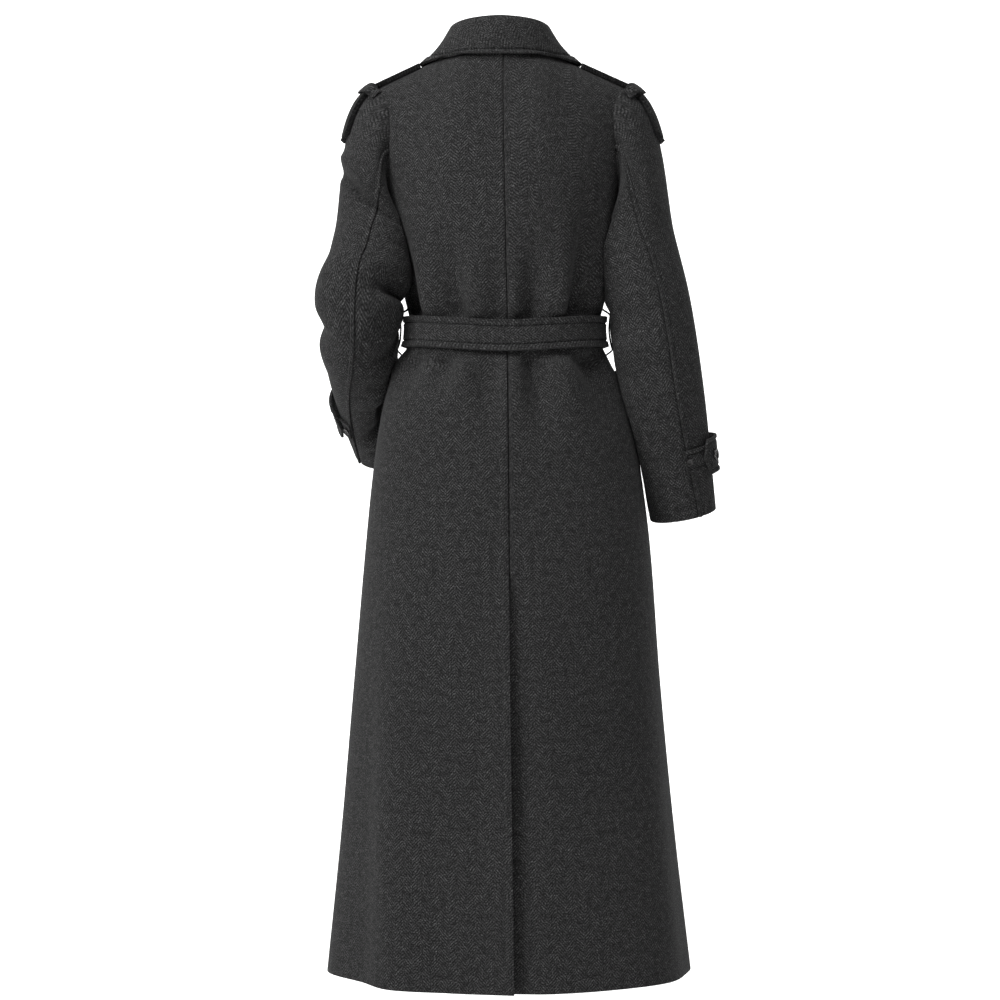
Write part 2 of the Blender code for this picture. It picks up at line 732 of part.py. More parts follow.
def seam_turn(hand, run):
    """Half the gap at a sleeve seam as an angle round the sleeve."""
    share = max(run - 1, 0.0)
    return math.degrees(SLEEVE_SEAM_GAP / 2 / arm_frame(hand, share)[4])


def sleeve_panel(hand, upper):
    def place(u, v):
        run = sleeve_run(v)
        seam = sleeve_seam(hand, run)
        front = seam + FRONT_SEAM_TURN
        start, middle, end = (seam, 0.0, front - 360) if upper else (front, 180.0, seam)
        gap = seam_turn(hand, run)
        start, end = start - gap, end + gap
        if u < 0.5:
            return sleeve(hand, start + (middle - start) * 2 * u, run)
        return sleeve(hand, middle + (end - middle) * (2 * u - 1), run)
    return place


for hand, side in ((1, "left"), (-1, "right")):
    for upper, cut, columns in ((True, "upper", UPPER_COLUMNS), (False, "under", UNDER_COLUMNS)):
        sheet(f"sleeve_{side}_{cut}", columns, HEAD_ROWS + TUBE_ROWS, sleeve_panel(hand, upper), CLOTH, hand)

# The collar.
def neckline(azimuth):
    size = abs(azimuth)
    facing = 1 if size <= 90 else -1
    share = NECK_SHARE * (size if facing > 0 else 180 - size) / 90
    point = top_edge(facing, share)
    point.x = point.x * (-1 if azimuth < 0 else 1) + NECK_SHIFT
    return point


def neck_out(azimuth):
    along = neckline(azimuth + TURN_STEP) - neckline(azimuth - TURN_STEP)
    return Vector((-along.y, along.x, 0)).normalized()


def stand_point(azimuth, share):
    size = abs(azimuth)
    rise = Vector((0, 0, STAND_GAP + column(COLLAR, "rise", size) * share))
    return neckline(azimuth) + rise + neck_out(azimuth) * column(COLLAR, "out", size) * share


def fold_up(azimuth):
    """Square to the stand's upper edge, and upwards."""
    along = stand_point(azimuth + TURN_STEP, 1.0) - stand_point(azimuth - TURN_STEP, 1.0)
    along.normalize()
    return (Vector((0, 0, 1)) - along * along.z).normalized()


def collar_azimuth(u):
    return COLLAR_END * (2 * u - 1)


def collar_stand(u, v):
    return stand_point(collar_azimuth(u), v)


def under_fall(azimuth, share):
    """The body under the fall, from the neckline to the fall's edge, and the way out of it."""
    size = abs(azimuth)
    hand = -1 if azimuth < 0 else 1
    facing = 1 if size <= 90 else -1
    neck_angle = NECK_SHARE * (size if facing > 0 else 180 - size)
    angle = neck_angle + (column(COLLAR, "angle", size) - neck_angle) * share
    reach = 1 + (min(column(COLLAR, "share", size), 1.0) - 1) * share
    level = ARM_LEVEL + (NECK_LEVEL - ARM_LEVEL) * reach

    def near(u, v):
        return body(facing, hand * angle + NEAR_TURN * (2 * u - 1), level + NEAR_RISE * (v - 1))
    return body(facing, hand * angle, level), out_of(near, 0.5, 1.0, -facing, 0.5)


def collar_fall(u, v):
    azimuth = collar_azimuth(u)
    out = neck_out(azimuth)
    up = fold_up(azimuth)
    centre = stand_point(azimuth, 1.0) + out * ROLL_OFFSET + up * LAID_GAP
    turn = math.radians(180 - ROLL_TURN * min(v / ROLL_SHARE, 1.0))
    rolled = centre + (out * math.cos(turn) + up * math.sin(turn)) * ROLL
    if v <= ROLL_SHARE:
        return rolled
    share = (v - ROLL_SHARE) / (1 - ROLL_SHARE)
    room = COLLAR_CLOTH + FALL_LIFT
    edge, edge_out = under_fall(azimuth, 1.0)
    edge += edge_out * room
    slope = (out * math.sin(turn) - up * math.cos(turn)) * FALL_SPRING
    point = hermite(rolled, slope, edge, edge - rolled, share)
    below, below_out = under_fall(azimuth, share)
    short = room - (point - below).dot(below_out)
    return point + below_out * max(short, 0.0)


sheet("collar_stand", COLLAR_COLUMNS, STAND_ROWS, collar_stand, CLOTH, -1)
sheet("collar_fall", COLLAR_COLUMNS, FALL_ROWS, collar_fall, COLLAR_CLOTH, 1)

# The shoulder straps and their loops.
def shoulder(hand, along, aside):
    """A point on the shoulder, along it from the collar to the sleeve head and aside to the back."""
    if along < STRAP_SEAM_SHARE:
        angle = STRAP_START_ANGLE + (90 - STRAP_START_ANGLE) * along / STRAP_SEAM_SHARE
        share = 1 - abs(aside) / STRAP_REACH
        level = ARM_LEVEL + (NECK_LEVEL - ARM_LEVEL) * share
        return body(1 if aside >= 0 else -1, hand * angle, level)
    run = STRAP_END_RUN * (along - STRAP_SEAM_SHARE) / (1 - STRAP_SEAM_SHARE)
    return sleeve(hand, aside / STRAP_HALF * STRAP_TURN, run)


def epaulette(hand):
    def place(u, v):
        return shoulder(hand, v, STRAP_HALF * (2 * u - 1))
    return place


def epaulette_loop(hand):
    def place(u, v):
        aside = LOOP_HALF * (2 * u - 1)
        run = LOOP_START_RUN + (LOOP_END_RUN - LOOP_START_RUN) * v
        return sleeve(hand, aside / STRAP_HALF * STRAP_TURN, run)
    return place


def loop_lift(u, v):
    aside = abs(LOOP_HALF * (2 * u - 1))
    over = ease((LOOP_FOOT - aside) / (LOOP_FOOT - LOOP_CREST))
    return CLOTH + LAID_GAP + (STRAP_CLOTH + 2 * LAID_GAP) * over


def strap_lift(u, v):
    return STRAP_CLOTH + LAID_GAP


for hand, side in ((1, "left"), (-1, "right")):
    sheet(f"epaulette_{side}", STRAP_COLUMNS, STRAP_ROWS, epaulette(hand), STRAP_CLOTH, -hand, strap_lift)
    sheet(f"epaulette_loop_{side}", LOOP_COLUMNS, LOOP_ROWS, epaulette_loop(hand), CLOTH, -hand, loop_lift)

# The belt, its knot, tails and carriers.
def belt(u, v):
    turn = BELT_END * (2 * u - 1)
    size = abs(turn)
    facing = 1 if size <= 90 else -1
    angle = size if facing > 0 else 180 - size
    angle *= -1 if turn < 0 else 1
    height = WAIST + BELT_HEIGHT * (v - 0.5)
    height -= belt_dip(facing, angle, WAIST)
    reach = plain_radius(facing, angle, height)
    around = math.radians(angle)
    if facing < 0:
        reach += LAP_LIFT * ease((LAP_END_ANGLE - abs(angle)) / LAP_END_FADE)
    return Vector((reach * math.sin(around), facing * reach * math.cos(around), height))


def belt_lift(u, v):
    return BELT_LIFT + BELT_CLOTH


sheet("belt", BELT_COLUMNS, BELT_ROWS, belt, BELT_CLOTH, -1, belt_lift)

knot_flat = (KNOT_SIZE.z / 2 - KNOT_ROUND) / BELT_HEIGHT
knot_seat = max(-belt(0.0, 0.5 + knot_flat * side).y for side in (-1, 0, 1))
knot_back = knot_seat + BELT_LIFT + BELT_CLOTH + SEAM_GAP
bm = bmesh.new()
bmesh.ops.create_cube(bm, size=1)
bmesh.ops.scale(bm, vec=KNOT_SIZE, verts=bm.verts[:])
bmesh.ops.bevel(bm, geom=bm.edges[:], offset=KNOT_ROUND, segments=2, profile=0.5, affect="EDGES")
bmesh.ops.translate(bm, vec=(0, -(knot_back + KNOT_SIZE.y / 2), WAIST), verts=bm.verts[:])
finish("belt_knot", bm)


def belt_tail(hand):
    def place(u, v):
        height = TAIL_TOP - TAIL_LENGTHS[hand] * v
        across = hand * (TAIL_CENTRE + TAIL_SPLAY * v) + BELT_HEIGHT * (u - 0.5)
        depth = section(height)[2]
        angle = math.degrees(math.atan2(across - section(height)[3], depth))
        return body(-1, angle, height, LAP_LIFT)
    return place


def tail_lift(u, v):
    return BELT_CLOTH + LAID_GAP


for hand, side in ((1, "left"), (-1, "right")):
    sheet(f"belt_tail_{side}", TAIL_COLUMNS, TAIL_ROWS, belt_tail(hand), BELT_CLOTH, -1, tail_lift)


def carrier(hand):
    def place(u, v):
        height = CARRIER_TOP + (CARRIER_FOOT - CARRIER_TOP) * v
        turn = 90 + CARRIER_HALF_ANGLE * (2 * u - 1)
        facing = 1 if turn <= 90 else -1
        angle = turn if facing > 0 else 180 - turn
        over = BELT_LIFT + BELT_CLOTH + CARRIER_ROOM
        stand = LAID_GAP + (over - LAID_GAP) * ease(min(v, 1 - v) / CARRIER_RAMP)
        reach = plain_radius(facing, angle, height) + stand
        around = math.radians(turn)
        across = section(height)[3] + hand * reach * math.sin(around)
        return Vector((across, reach * math.cos(around), height))
    return place


def carrier_lift(u, v):
    return CARRIER_CLOTH


for hand, side in ((1, "left"), (-1, "right")):
    sheet(f"belt_carrier_{side}", 1, CARRIER_ROWS, carrier(hand), CARRIER_CLOTH, hand, carrier_lift)

# The cuff straps, tabs and buttons.
def cuff_run(hand, up):
    """The run of a place measured up from the cuff's edge."""
    return 2 - up / arm_lengths(hand)[1]


def cuff_strap(hand):
    def place(u, v):
        run = cuff_run(hand, STRAP_FROM_CUFF + STRAP_HEIGHT * (v - 0.5))
        return sleeve(hand, sleeve_seam(hand, run) - STRAP_SEAM_TURNS[hand] - STRAP_ROUND * u, run)
    return place


def cuff_tab(hand):
    def place(u, v):
        run = cuff_run(hand, STRAP_FROM_CUFF + TAB_HEIGHT * (v - 0.5))
        middle = cuff_run(hand, STRAP_FROM_CUFF)
        first = sleeve_seam(hand, middle) - TAB_TIP_TURNS[hand]
        tip = first - TAB_POINT_TURN * abs(2 * v - 1)
        return sleeve(hand, tip + (first - TAB_ROUND - tip) * u, run)
    return place


def cuff_strap_lift(u, v):
    return STRAP_LAID + LAID_GAP


def cuff_tab_lift(u, v):
    return STRAP_LAID + TAB_CLOTH + 2 * LAID_GAP + TAB_STAND * ease(1 - abs(2 * u - 1))


def button(name, place, u, v, lift, size, hand):
    seat = place(u, v)
    out = out_of(place, u, v, -hand)
    bm = bmesh.new()
    bmesh.ops.create_cone(bm, cap_ends=True, segments=BUTTON_SIDES, radius1=size, radius2=size,
                          depth=BUTTON_THICK)
    rims = [edge for edge in bm.edges if abs(edge.verts[0].co.z - edge.verts[1].co.z) < BUTTON_ROUND]
    bmesh.ops.bevel(bm, geom=rims, offset=BUTTON_ROUND, segments=1, profile=0.5, affect="EDGES")
    turn = Vector((0, 0, 1)).rotation_difference(out).to_matrix()
    bmesh.ops.rotate(bm, matrix=turn, verts=bm.verts[:])
    bmesh.ops.translate(bm, vec=seat + out * (lift + SEAM_GAP + BUTTON_THICK / 2), verts=bm.verts[:])
    finish(name, bm, HORN, HORN_ROUGHNESS)


for hand, side in ((1, "left"), (-1, "right")):
    strap, tab = cuff_strap(hand), cuff_tab(hand)
    sheet(f"cuff_strap_{side}", CUFF_STRAP_COLUMNS, 1, strap, STRAP_LAID, -hand, cuff_strap_lift)
    sheet(f"cuff_tab_{side}", TAB_COLUMNS, TAB_ROWS, tab, TAB_CLOTH, -hand, cuff_tab_lift)
    tab_u = (TAB_BUTTON_TURNS[hand] - TAB_TIP_TURNS[hand]) / TAB_ROUND
    button(f"tab_button_{side}", tab, tab_u, 0.5, cuff_tab_lift(tab_u, 0.5), TAB_BUTTON_RADIUS, hand)
    strap_u = STRAP_BUTTON_TURN / STRAP_ROUND
    button(f"strap_button_{side}", strap, strap_u, 0.5, cuff_strap_lift(0, 0), STRAP_BUTTON_RADIUS, hand)

# The pocket welts.
def pocket_welt(hand):
    def place(u, v):
        height = WELT_TOP + (WELT_FOOT - WELT_TOP) * v
        middle = WELT_TOP_ANGLE + (WELT_FOOT_ANGLE - WELT_TOP_ANGLE) * v
        reach = radius(-1, hand * middle, height)
        angle = middle + math.degrees(WELT_WIDTH / reach) * (u - 0.5)
        return body(-1, hand * angle, height)
    return place


def welt_lift(u, v):
    return WELT_CLOTH + LAID_GAP


for hand, side in ((1, "left"), (-1, "right")):
    sheet(f"pocket_welt_{side}", WELT_COLUMNS, WELT_ROWS, pocket_welt(hand), WELT_CLOTH, -hand, welt_lift)
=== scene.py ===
import math
from collections import namedtuple
from functools import partial

import bpy
import numpy as np
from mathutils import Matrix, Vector


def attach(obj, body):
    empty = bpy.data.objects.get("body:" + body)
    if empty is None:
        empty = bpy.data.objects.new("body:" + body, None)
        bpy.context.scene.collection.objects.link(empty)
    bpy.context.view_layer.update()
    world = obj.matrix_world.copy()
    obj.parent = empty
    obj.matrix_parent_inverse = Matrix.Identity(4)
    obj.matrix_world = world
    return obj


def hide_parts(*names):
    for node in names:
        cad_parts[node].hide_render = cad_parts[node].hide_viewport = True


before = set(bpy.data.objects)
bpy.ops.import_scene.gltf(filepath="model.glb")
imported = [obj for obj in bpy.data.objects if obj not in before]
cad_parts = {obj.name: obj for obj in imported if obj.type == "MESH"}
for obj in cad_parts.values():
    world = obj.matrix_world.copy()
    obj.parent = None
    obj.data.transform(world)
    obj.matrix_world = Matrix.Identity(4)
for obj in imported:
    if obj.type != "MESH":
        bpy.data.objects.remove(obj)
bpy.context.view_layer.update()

# The backs. Two long panels of napped herringbone wool, sewn together down the centre back to the vent and
# lapped below it, the left over the right. Each runs from the hem to the neckline and the shoulder seam.
HEM, ARM_LEVEL, NECK_LEVEL, WAIST = -1.27, -0.215, 0.025, -0.37
SQUARENESS = 2.3
BELT_DIP, BELT_DIP_REACH = 0.01, 0.16
HEM_SIDE_RISE, HEM_CENTRE_DROP, HEM_CURVE_TOP = 0.004, 0.003, -1.0

Section = namedtuple("Section", "height half_width back_depth front_depth lean")
SECTIONS = [Section(*row) for row in (
    (-1.27, 0.256, 0.19, 0.196, -0.006),
    (-1.09, 0.2365, 0.18, 0.183, -0.0045),
    (-0.86, 0.2155, 0.166, 0.162, -0.003),
    (-0.663, 0.1995, 0.153, 0.146, -0.004),
    (-0.578, 0.19, 0.146, 0.138, -0.003),
    (-0.5, 0.1785, 0.135, 0.127, -0.002),
    (-0.44, 0.1625, 0.121, 0.117, 0.0005),
    (-0.412, 0.1505, 0.112, 0.111, 0.003),
    (-0.392, 0.139, 0.102, 0.106, 0.0),
    (-0.37, 0.135, 0.1, 0.104, 0.0),
    (-0.346, 0.1365, 0.101, 0.106, 0.0),
    (-0.31, 0.144, 0.106, 0.113, 0.0),
    (-0.215, 0.158, 0.116, 0.13, 0.002),
)]
# Soft folds: facing is 1 for the back and -1 for the front, angle counts from the centre line to the coat's
# left, drift turns it per metre downwards, and a fold is deepest at its root.
Fold = namedtuple("Fold", "facing angle drift root tip spread depth")
FOLDS = [Fold(*row) for row in (
    (1, 75, 0, -0.34, -0.15, 9, -0.006),
    (1, 53, 0, -0.335, -0.18, 9, 0.0035),
    (1, 38, 0, -0.34, -0.19, 8, -0.005),
    (1, 22, 0, -0.335, -0.2, 8, 0.003),
    (1, 4, 0, -0.34, -0.23, 7, -0.0015),
    (1, -9, 0, -0.335, -0.22, 7, 0.0025),
    (1, -20, 0, -0.34, -0.22, 8, -0.0045),
    (1, -39, 0, -0.335, -0.18, 9, 0.004),
    (1, -57, 0, -0.34, -0.12, 9, -0.0075),
    (1, 63, 0, -0.415, -0.48, 9, -0.005),
    (1, 41, 0, -0.415, -0.47, 8, -0.005),
    (1, 29, 0, -0.42, -0.5, 7, 0.003),
    (1, 11, 0, -0.42, -0.56, 7, -0.003),
    (1, -9, 0, -0.42, -0.52, 7, 0.003),
    (1, -21, 0, -0.415, -0.54, 8, -0.006),
    (1, -36, 0, -0.42, -0.52, 8, 0.004),
    (1, -60, 0, -0.415, -0.52, 9, -0.006),
    (1, 54, -14, -1.3, -0.48, 9, 0.012),
    (1, 74, -14, -1.3, -0.52, 10, -0.012),
    (1, -61, 0, -1.3, -0.56, 11, 0.005),
    (1, -76, 0, -1.3, -0.7, 8, -0.005),
    (-1, 55, 0, -0.34, -0.2, 9, -0.005),
    (-1, 34, 0, -0.34, -0.19, 9, 0.003),
    (-1, -33, 0, -0.34, -0.21, 9, 0.003),
    (-1, -58, 0, -0.34, -0.18, 9, -0.006),
    (-1, 62, 0, -0.415, -0.54, 9, -0.005),
    (-1, -60, 0, -0.415, -0.56, 9, -0.005),
    (-1, 52, -6, -1.3, -0.56, 10, 0.006),
    (-1, 72, -6, -1.3, -0.62, 9, -0.007),
    (-1, -54, 6, -1.3, -0.52, 10, 0.007),
    (-1, -73, 6, -1.3, -0.6, 9, -0.007),
)]
FOLD_START, TROUGH_FULLNESS, RIDGE_FULLNESS = 0.022, 3.2, 2.2
BELT_PINCH, BELT_PINCH_REACH = 0.003, 0.02
NECK_POINT = np.array((0.0675, 0.004, 0.022))
SHOULDER_POINT = np.array((0.181, -0.006, -0.028))
NECK_BACK, NECK_BACK_RISE = 0.06, 0.004
NECK_FRONT, NECK_FRONT_DROP = 0.079, 0.072
NECK_SHARE, NECK_SHIFT, SHOULDER_SHIFT = 0.42, 0.007, 0.0045
NECK_SLOPE_BACK, NECK_SLOPE_FRONT = np.array((0.0, -0.35, 0.94)), np.array((0.0, 0.3, 0.95))
BACK_SCOOP, FRONT_SCOOP, SCOOP_ROUNDNESS = 0.15, 0.22, 1.2
RISE_STEP = 0.01


def ease(value):
    """0 to 1 on a soft step."""
    value = np.clip(value, 0.0, 1.0)
    return value * value * (3 - 2 * value)


def bell(value):
    """1 at the middle and 0 from two widths away, on a soft hump."""
    return ease(1 - np.abs(value) / 2)


def hermite(start, start_slope, end, end_slope, share):
    """A point on the curve that leaves start and reaches end on the given slopes."""
    s2, s3 = share ** 2, share ** 3
    return (start * (2 * s3 - 3 * s2 + 1) + start_slope * (s3 - 2 * s2 + share)
            + end * (3 * s2 - 2 * s3) + end_slope * (s3 - s2))


def column(rows, name, at):
    """The named column of a table where its first column is `at`, on a smooth curve through the rows."""
    keys = np.array([row[0] for row in rows], float)
    values = np.array([getattr(row, name) for row in rows], float)
    at = np.clip(at, keys[0], keys[-1])
    index = np.clip(np.searchsorted(keys, at, side="right") - 1, 0, len(keys) - 2)
    slopes = np.diff(values) / np.diff(keys)
    before = slopes[np.maximum(index - 1, 0)]
    after = slopes[np.minimum(index + 1, len(slopes) - 1)]
    width = keys[index + 1] - keys[index]
    start_slope = (before + slopes[index]) / 2 * width
    end_slope = (slopes[index] + after) / 2 * width
    return hermite(values[index], start_slope, values[index + 1], end_slope, (at - keys[index]) / width)


def section(level):
    return [column(SECTIONS, name, level) for name in Section._fields[1:]]


def unit(vectors):
    return vectors / np.maximum(np.linalg.norm(vectors, axis=-1, keepdims=True), 1e-9)


def belt_dip(facing, angle, level):
    """How much lower the waist lies at the back."""
    near = bell((level - WAIST) / BELT_DIP_REACH)
    return np.where(facing > 0, BELT_DIP * near * np.cos(np.radians(angle)) ** 2, 0.0)


def plain_radius(facing, angle, level):
    """From the section's centre to the outer cloth, without the folds."""
    half_width, back_depth, front_depth, lean = section(level + belt_dip(facing, angle, level))
    sideways = np.abs(np.sin(np.radians(angle))) / half_width
    lengthways = np.abs(np.cos(np.radians(angle))) / np.where(facing > 0, back_depth, front_depth)
    return (sideways ** SQUARENESS + lengthways ** SQUARENESS) ** (-1 / SQUARENESS)


def fold_depth(facing, angle, level):
    total = 0.0
    level = level + belt_dip(facing, angle, level)
    for fold in FOLDS:
        centre = fold.angle + fold.drift * (fold.tip - level)
        strength = (level - fold.tip) / (fold.root - fold.tip)
        if fold.root > HEM:
            past_root = np.abs(level - fold.tip) - abs(fold.root - fold.tip)
            strength = np.minimum(strength, 1 - past_root / FOLD_START)
        fullness = TROUGH_FULLNESS if fold.depth < 0 else RIDGE_FULLNESS
        depth = fold.depth * (fullness if fold.root > HEM and fold.facing > 0 else 1.0)
        total += (facing == fold.facing) * depth * ease(strength) * bell((angle - centre) / fold.spread)
    return total - BELT_PINCH * bell((level - WAIST) / BELT_PINCH_REACH)


def radius(facing, angle, level):
    return plain_radius(facing, angle, level) + fold_depth(facing, angle, level)


def ring(facing, angle, level, extra=0.0):
    """Points of the body below the armholes."""
    reach = radius(facing, angle, level) + extra
    turn = np.radians(angle)
    near_hem = ease((HEM_CURVE_TOP - level) / (HEM_CURVE_TOP - HEM))
    curve = near_hem * (HEM_SIDE_RISE * np.sin(turn) ** 2 - HEM_CENTRE_DROP * np.cos(turn) ** 2)
    across = section(level)[3] + reach * np.sin(turn)
    return np.stack([across, facing * reach * np.cos(turn), level + curve], -1)


def top_edge(facing, share):
    """The neckline from the centre line, then the shoulder seam out to the shoulder point."""
    turn = np.radians(90 * np.clip(share / NECK_SHARE, 0, 1))
    away = np.where(facing > 0, NECK_BACK, -NECK_FRONT) * np.cos(turn)
    rise = np.where(facing > 0, NECK_BACK_RISE, -NECK_FRONT_DROP) * np.cos(turn)
    neck = np.stack([NECK_POINT[0] * np.sin(turn), NECK_POINT[1] + away, NECK_POINT[2] + rise], -1)
    past = np.clip((share - NECK_SHARE) / (1 - NECK_SHARE), 0, 1)
    return neck + (SHOULDER_POINT - NECK_POINT) * past[..., None]


def body(facing, angle, level, extra=0.0):
    """Points of the outer cloth of the body. Levels above the armpit run on to the neckline and shoulder."""
    facing, angle, level, extra = np.broadcast_arrays(facing, angle, level, extra)
    low = ring(facing, angle, np.minimum(level, ARM_LEVEL), extra)
    start = ring(facing, angle, np.full(angle.shape, ARM_LEVEL))
    rise = (start - ring(facing, angle, np.full(angle.shape, ARM_LEVEL - RISE_STEP))) / RISE_STEP
    across = np.minimum(np.abs(angle) / 90, 1.0)
    end = top_edge(facing, across)
    past = np.maximum(across - NECK_SHARE, 0.0) / (1 - NECK_SHARE)
    end[..., 0] = end[..., 0] * np.where(angle < 0, -1, 1) + NECK_SHIFT + (SHOULDER_SHIFT - NECK_SHIFT) * past
    neck_slope = np.where(facing[..., None] > 0, NECK_SLOPE_BACK, NECK_SLOPE_FRONT)
    shoulder_slope = np.stack([0.0 * facing, -1.0 * facing, 0.0 * facing], -1)
    slope = neck_slope + (shoulder_slope - neck_slope) * ease(across / NECK_SHARE)[..., None]
    length = np.linalg.norm(end - start, axis=-1, keepdims=True)
    share = np.maximum((level - ARM_LEVEL) / (NECK_LEVEL - ARM_LEVEL), 0.0)[..., None]
    high = hermite(start, rise * length, end, slope * length, share)
    high = high + unit(high * (1, 1, 0)) * extra[..., None]
    return np.where(level[..., None] <= ARM_LEVEL, low, high)


def armhole_angle(facing, level):
    """Where a body panel ends: at the side seam, or at the armhole above it."""
    share = np.clip((level - ARM_LEVEL) / (NECK_LEVEL - ARM_LEVEL), 0.0, 1.0)
    scoop = np.where(facing > 0, BACK_SCOOP, FRONT_SCOOP)
    return 90 * (1 - scoop * np.sin(np.pi * share) ** SCOOP_ROUNDNESS)


class Net:
    """The tree of a shader, with short ways to add its nodes."""

    def __init__(self, tree):
        self.tree = tree

    def node(self, kind, **settings):
        made = self.tree.nodes.new("ShaderNode" + kind)
        for name, value in settings.items():
            setattr(made, name, value)
        return made

    def feed(self, socket, value):
        if isinstance(value, bpy.types.NodeSocket):
            self.tree.links.new(value, socket)
        else:
            socket.default_value = value

    def sum(self, operation, *values):
        made = self.node("Math", operation=operation)
        for socket, value in zip(made.inputs, values):
            self.feed(socket, value)
        return made.outputs[0]

    def noise(self, vector, scale, detail=2.0, roughness=0.5):
        made = self.node("TexNoise")
        self.feed(made.inputs["Vector"], vector)
        made.inputs["Scale"].default_value = scale
        made.inputs["Detail"].default_value = detail
        made.inputs["Roughness"].default_value = roughness
        return made.outputs["Fac"]


BAND, TWILL_RISE, TWILL_RUN = 0.0125, 0.0047, 0.0043
WAVER_SCALE, WAVER, DRIFT_SCALE, DRIFT = 190.0, 0.0026, 45.0, 0.005
PATCH_SCALE, PATCH_GAIN, PATCH_BASE = 110.0, 2.0, -0.35
FIBRE_SCALE, FIBRE_ROUGH, FIBRE_GAIN, FIBRE_BASE, FIBRE_LEAST = 480.0, 0.6, 4.0, -1.5, 0.1
SPECK_SCALE, SPECK_GAIN, SPECK_BASE, SPECK_LIGHT = 330.0, 5.0, -3.1, 0.3
RIB_LIGHT, GROUND_LIGHT, RIB_HEIGHT, FIBRE_HEIGHT = 0.62, 0.1, 0.8, 0.35


def weave_group():
    """Herringbone from flat cloth coordinates in metres: how light the yarn is, and its height."""
    group = bpy.data.node_groups.new("herringbone", "ShaderNodeTree")
    group.interface.new_socket("Flat", in_out="INPUT", socket_type="NodeSocketVector")
    group.interface.new_socket("Light", in_out="OUTPUT", socket_type="NodeSocketFloat")
    group.interface.new_socket("Height", in_out="OUTPUT", socket_type="NodeSocketFloat")
    net = Net(group)
    given, result = group.nodes.new("NodeGroupInput"), group.nodes.new("NodeGroupOutput")
    flat = given.outputs["Flat"]
    parts = net.node("SeparateXYZ")
    net.feed(parts.inputs[0], flat)
    waver = net.sum("MULTIPLY", net.sum("SUBTRACT", net.noise(flat, WAVER_SCALE), 0.5), WAVER)
    drift = net.sum("MULTIPLY", net.sum("SUBTRACT", net.noise(flat, DRIFT_SCALE), 0.5), DRIFT)
    across = net.sum("ADD", parts.outputs[0], drift)
    along = net.sum("ADD", parts.outputs[1], waver)
    zigzag = net.sum("DIVIDE", net.sum("PINGPONG", across, BAND), TWILL_RUN)
    offset = net.sum("MULTIPLY", net.sum("FLOOR", net.sum("DIVIDE", across, BAND)), 0.5)
    phase = net.sum("ADD", net.sum("ADD", net.sum("DIVIDE", along, TWILL_RISE), zigzag), offset)
    twill = net.sum("SINE", net.sum("MULTIPLY", phase, 2 * math.pi))
    twill = net.sum("MULTIPLY_ADD", twill, 0.5, 0.5)
    patchy = net.sum("MULTIPLY_ADD", net.noise(flat, PATCH_SCALE), PATCH_GAIN, PATCH_BASE)
    ribs = net.sum("MULTIPLY", twill, patchy)
    hairs = net.noise(flat, FIBRE_SCALE, roughness=FIBRE_ROUGH)
    fibre = net.sum("MULTIPLY_ADD", hairs, FIBRE_GAIN, FIBRE_BASE)
    specks = net.sum("MULTIPLY_ADD", net.noise(flat, SPECK_SCALE, 1.0), SPECK_GAIN, SPECK_BASE)
    specks = net.sum("MULTIPLY", net.sum("MAXIMUM", specks, 0.0), SPECK_LIGHT)
    yarn = net.sum("MULTIPLY_ADD", ribs, RIB_LIGHT, GROUND_LIGHT)
    light = net.sum("ADD", net.sum("MULTIPLY", yarn, net.sum("MAXIMUM", fibre, FIBRE_LEAST)), specks)
    height = net.sum("ADD", net.sum("MULTIPLY", ribs, RIB_HEIGHT), net.sum("MULTIPLY", fibre, FIBRE_HEIGHT))
    net.feed(result.inputs["Light"], light)
    net.feed(result.inputs["Height"], height)
    return group


WEAVE = weave_group()
WOOL_DARK, WOOL_LIGHT = (0.0035, 0.0035, 0.0036), (0.105, 0.105, 0.106)
WOOL_FINISH = {"Roughness": 0.95, "Specular IOR Level": 0.12, "Sheen Weight": 0.025, "Sheen Roughness": 0.5}
CLOUD_SCALE, CLOUD_GAIN, CLOUD_BASE = 6.0, 0.3, 0.85
RELIEF_STRENGTH, RELIEF_DISTANCE = 0.5, 0.0008


def plain_material(name, values):
    material = bpy.data.materials.new(name)
    material.use_nodes = True
    for socket, value in values.items():
        material.node_tree.nodes["Principled BSDF"].inputs[socket].default_value = value
    return material


def wool(name, tone=1.0):
    """Napped charcoal wool: herringbone in colour and relief, a soft sheen from its fibres. A tone below 1
    darkens its colours as painted shade.
    """
    material = plain_material(name, WOOL_FINISH)
    net = Net(material.node_tree)
    shader = material.node_tree.nodes["Principled BSDF"]
    flat = net.node("UVMap", uv_map="flat").outputs[0]
    weave = net.node("Group", node_tree=WEAVE)
    net.feed(weave.inputs["Flat"], flat)
    place = net.node("TexCoord").outputs["Object"]
    cloud = net.sum("MULTIPLY_ADD", net.noise(place, CLOUD_SCALE), CLOUD_GAIN, CLOUD_BASE)
    mix = net.node("MixRGB")
    net.feed(mix.inputs[0], net.sum("MULTIPLY", weave.outputs["Light"], cloud))
    mix.inputs[1].default_value = [tone * part for part in WOOL_DARK] + [1]
    mix.inputs[2].default_value = [tone * part for part in WOOL_LIGHT] + [1]
    net.feed(shader.inputs["Base Color"], mix.outputs[0])
    relief = net.node("Bump")
    relief.inputs["Strength"].default_value = RELIEF_STRENGTH
    relief.inputs["Distance"].default_value = RELIEF_DISTANCE
    net.feed(relief.inputs["Height"], weave.outputs["Height"])
    net.feed(shader.inputs["Normal"], relief.outputs[0])
    return material


WOOL = wool("charcoal_wool")
SMOOTH_ANGLE, RIM_ANGLE = math.radians(50), math.radians(60)
RIM_ROUND, RIM_SEGMENTS, SOFT_PASSES, NORMAL_PASSES = 0.42, 3, 60, 2


def activate_nothing():
    bpy.ops.object.select_all(action="DESELECT")


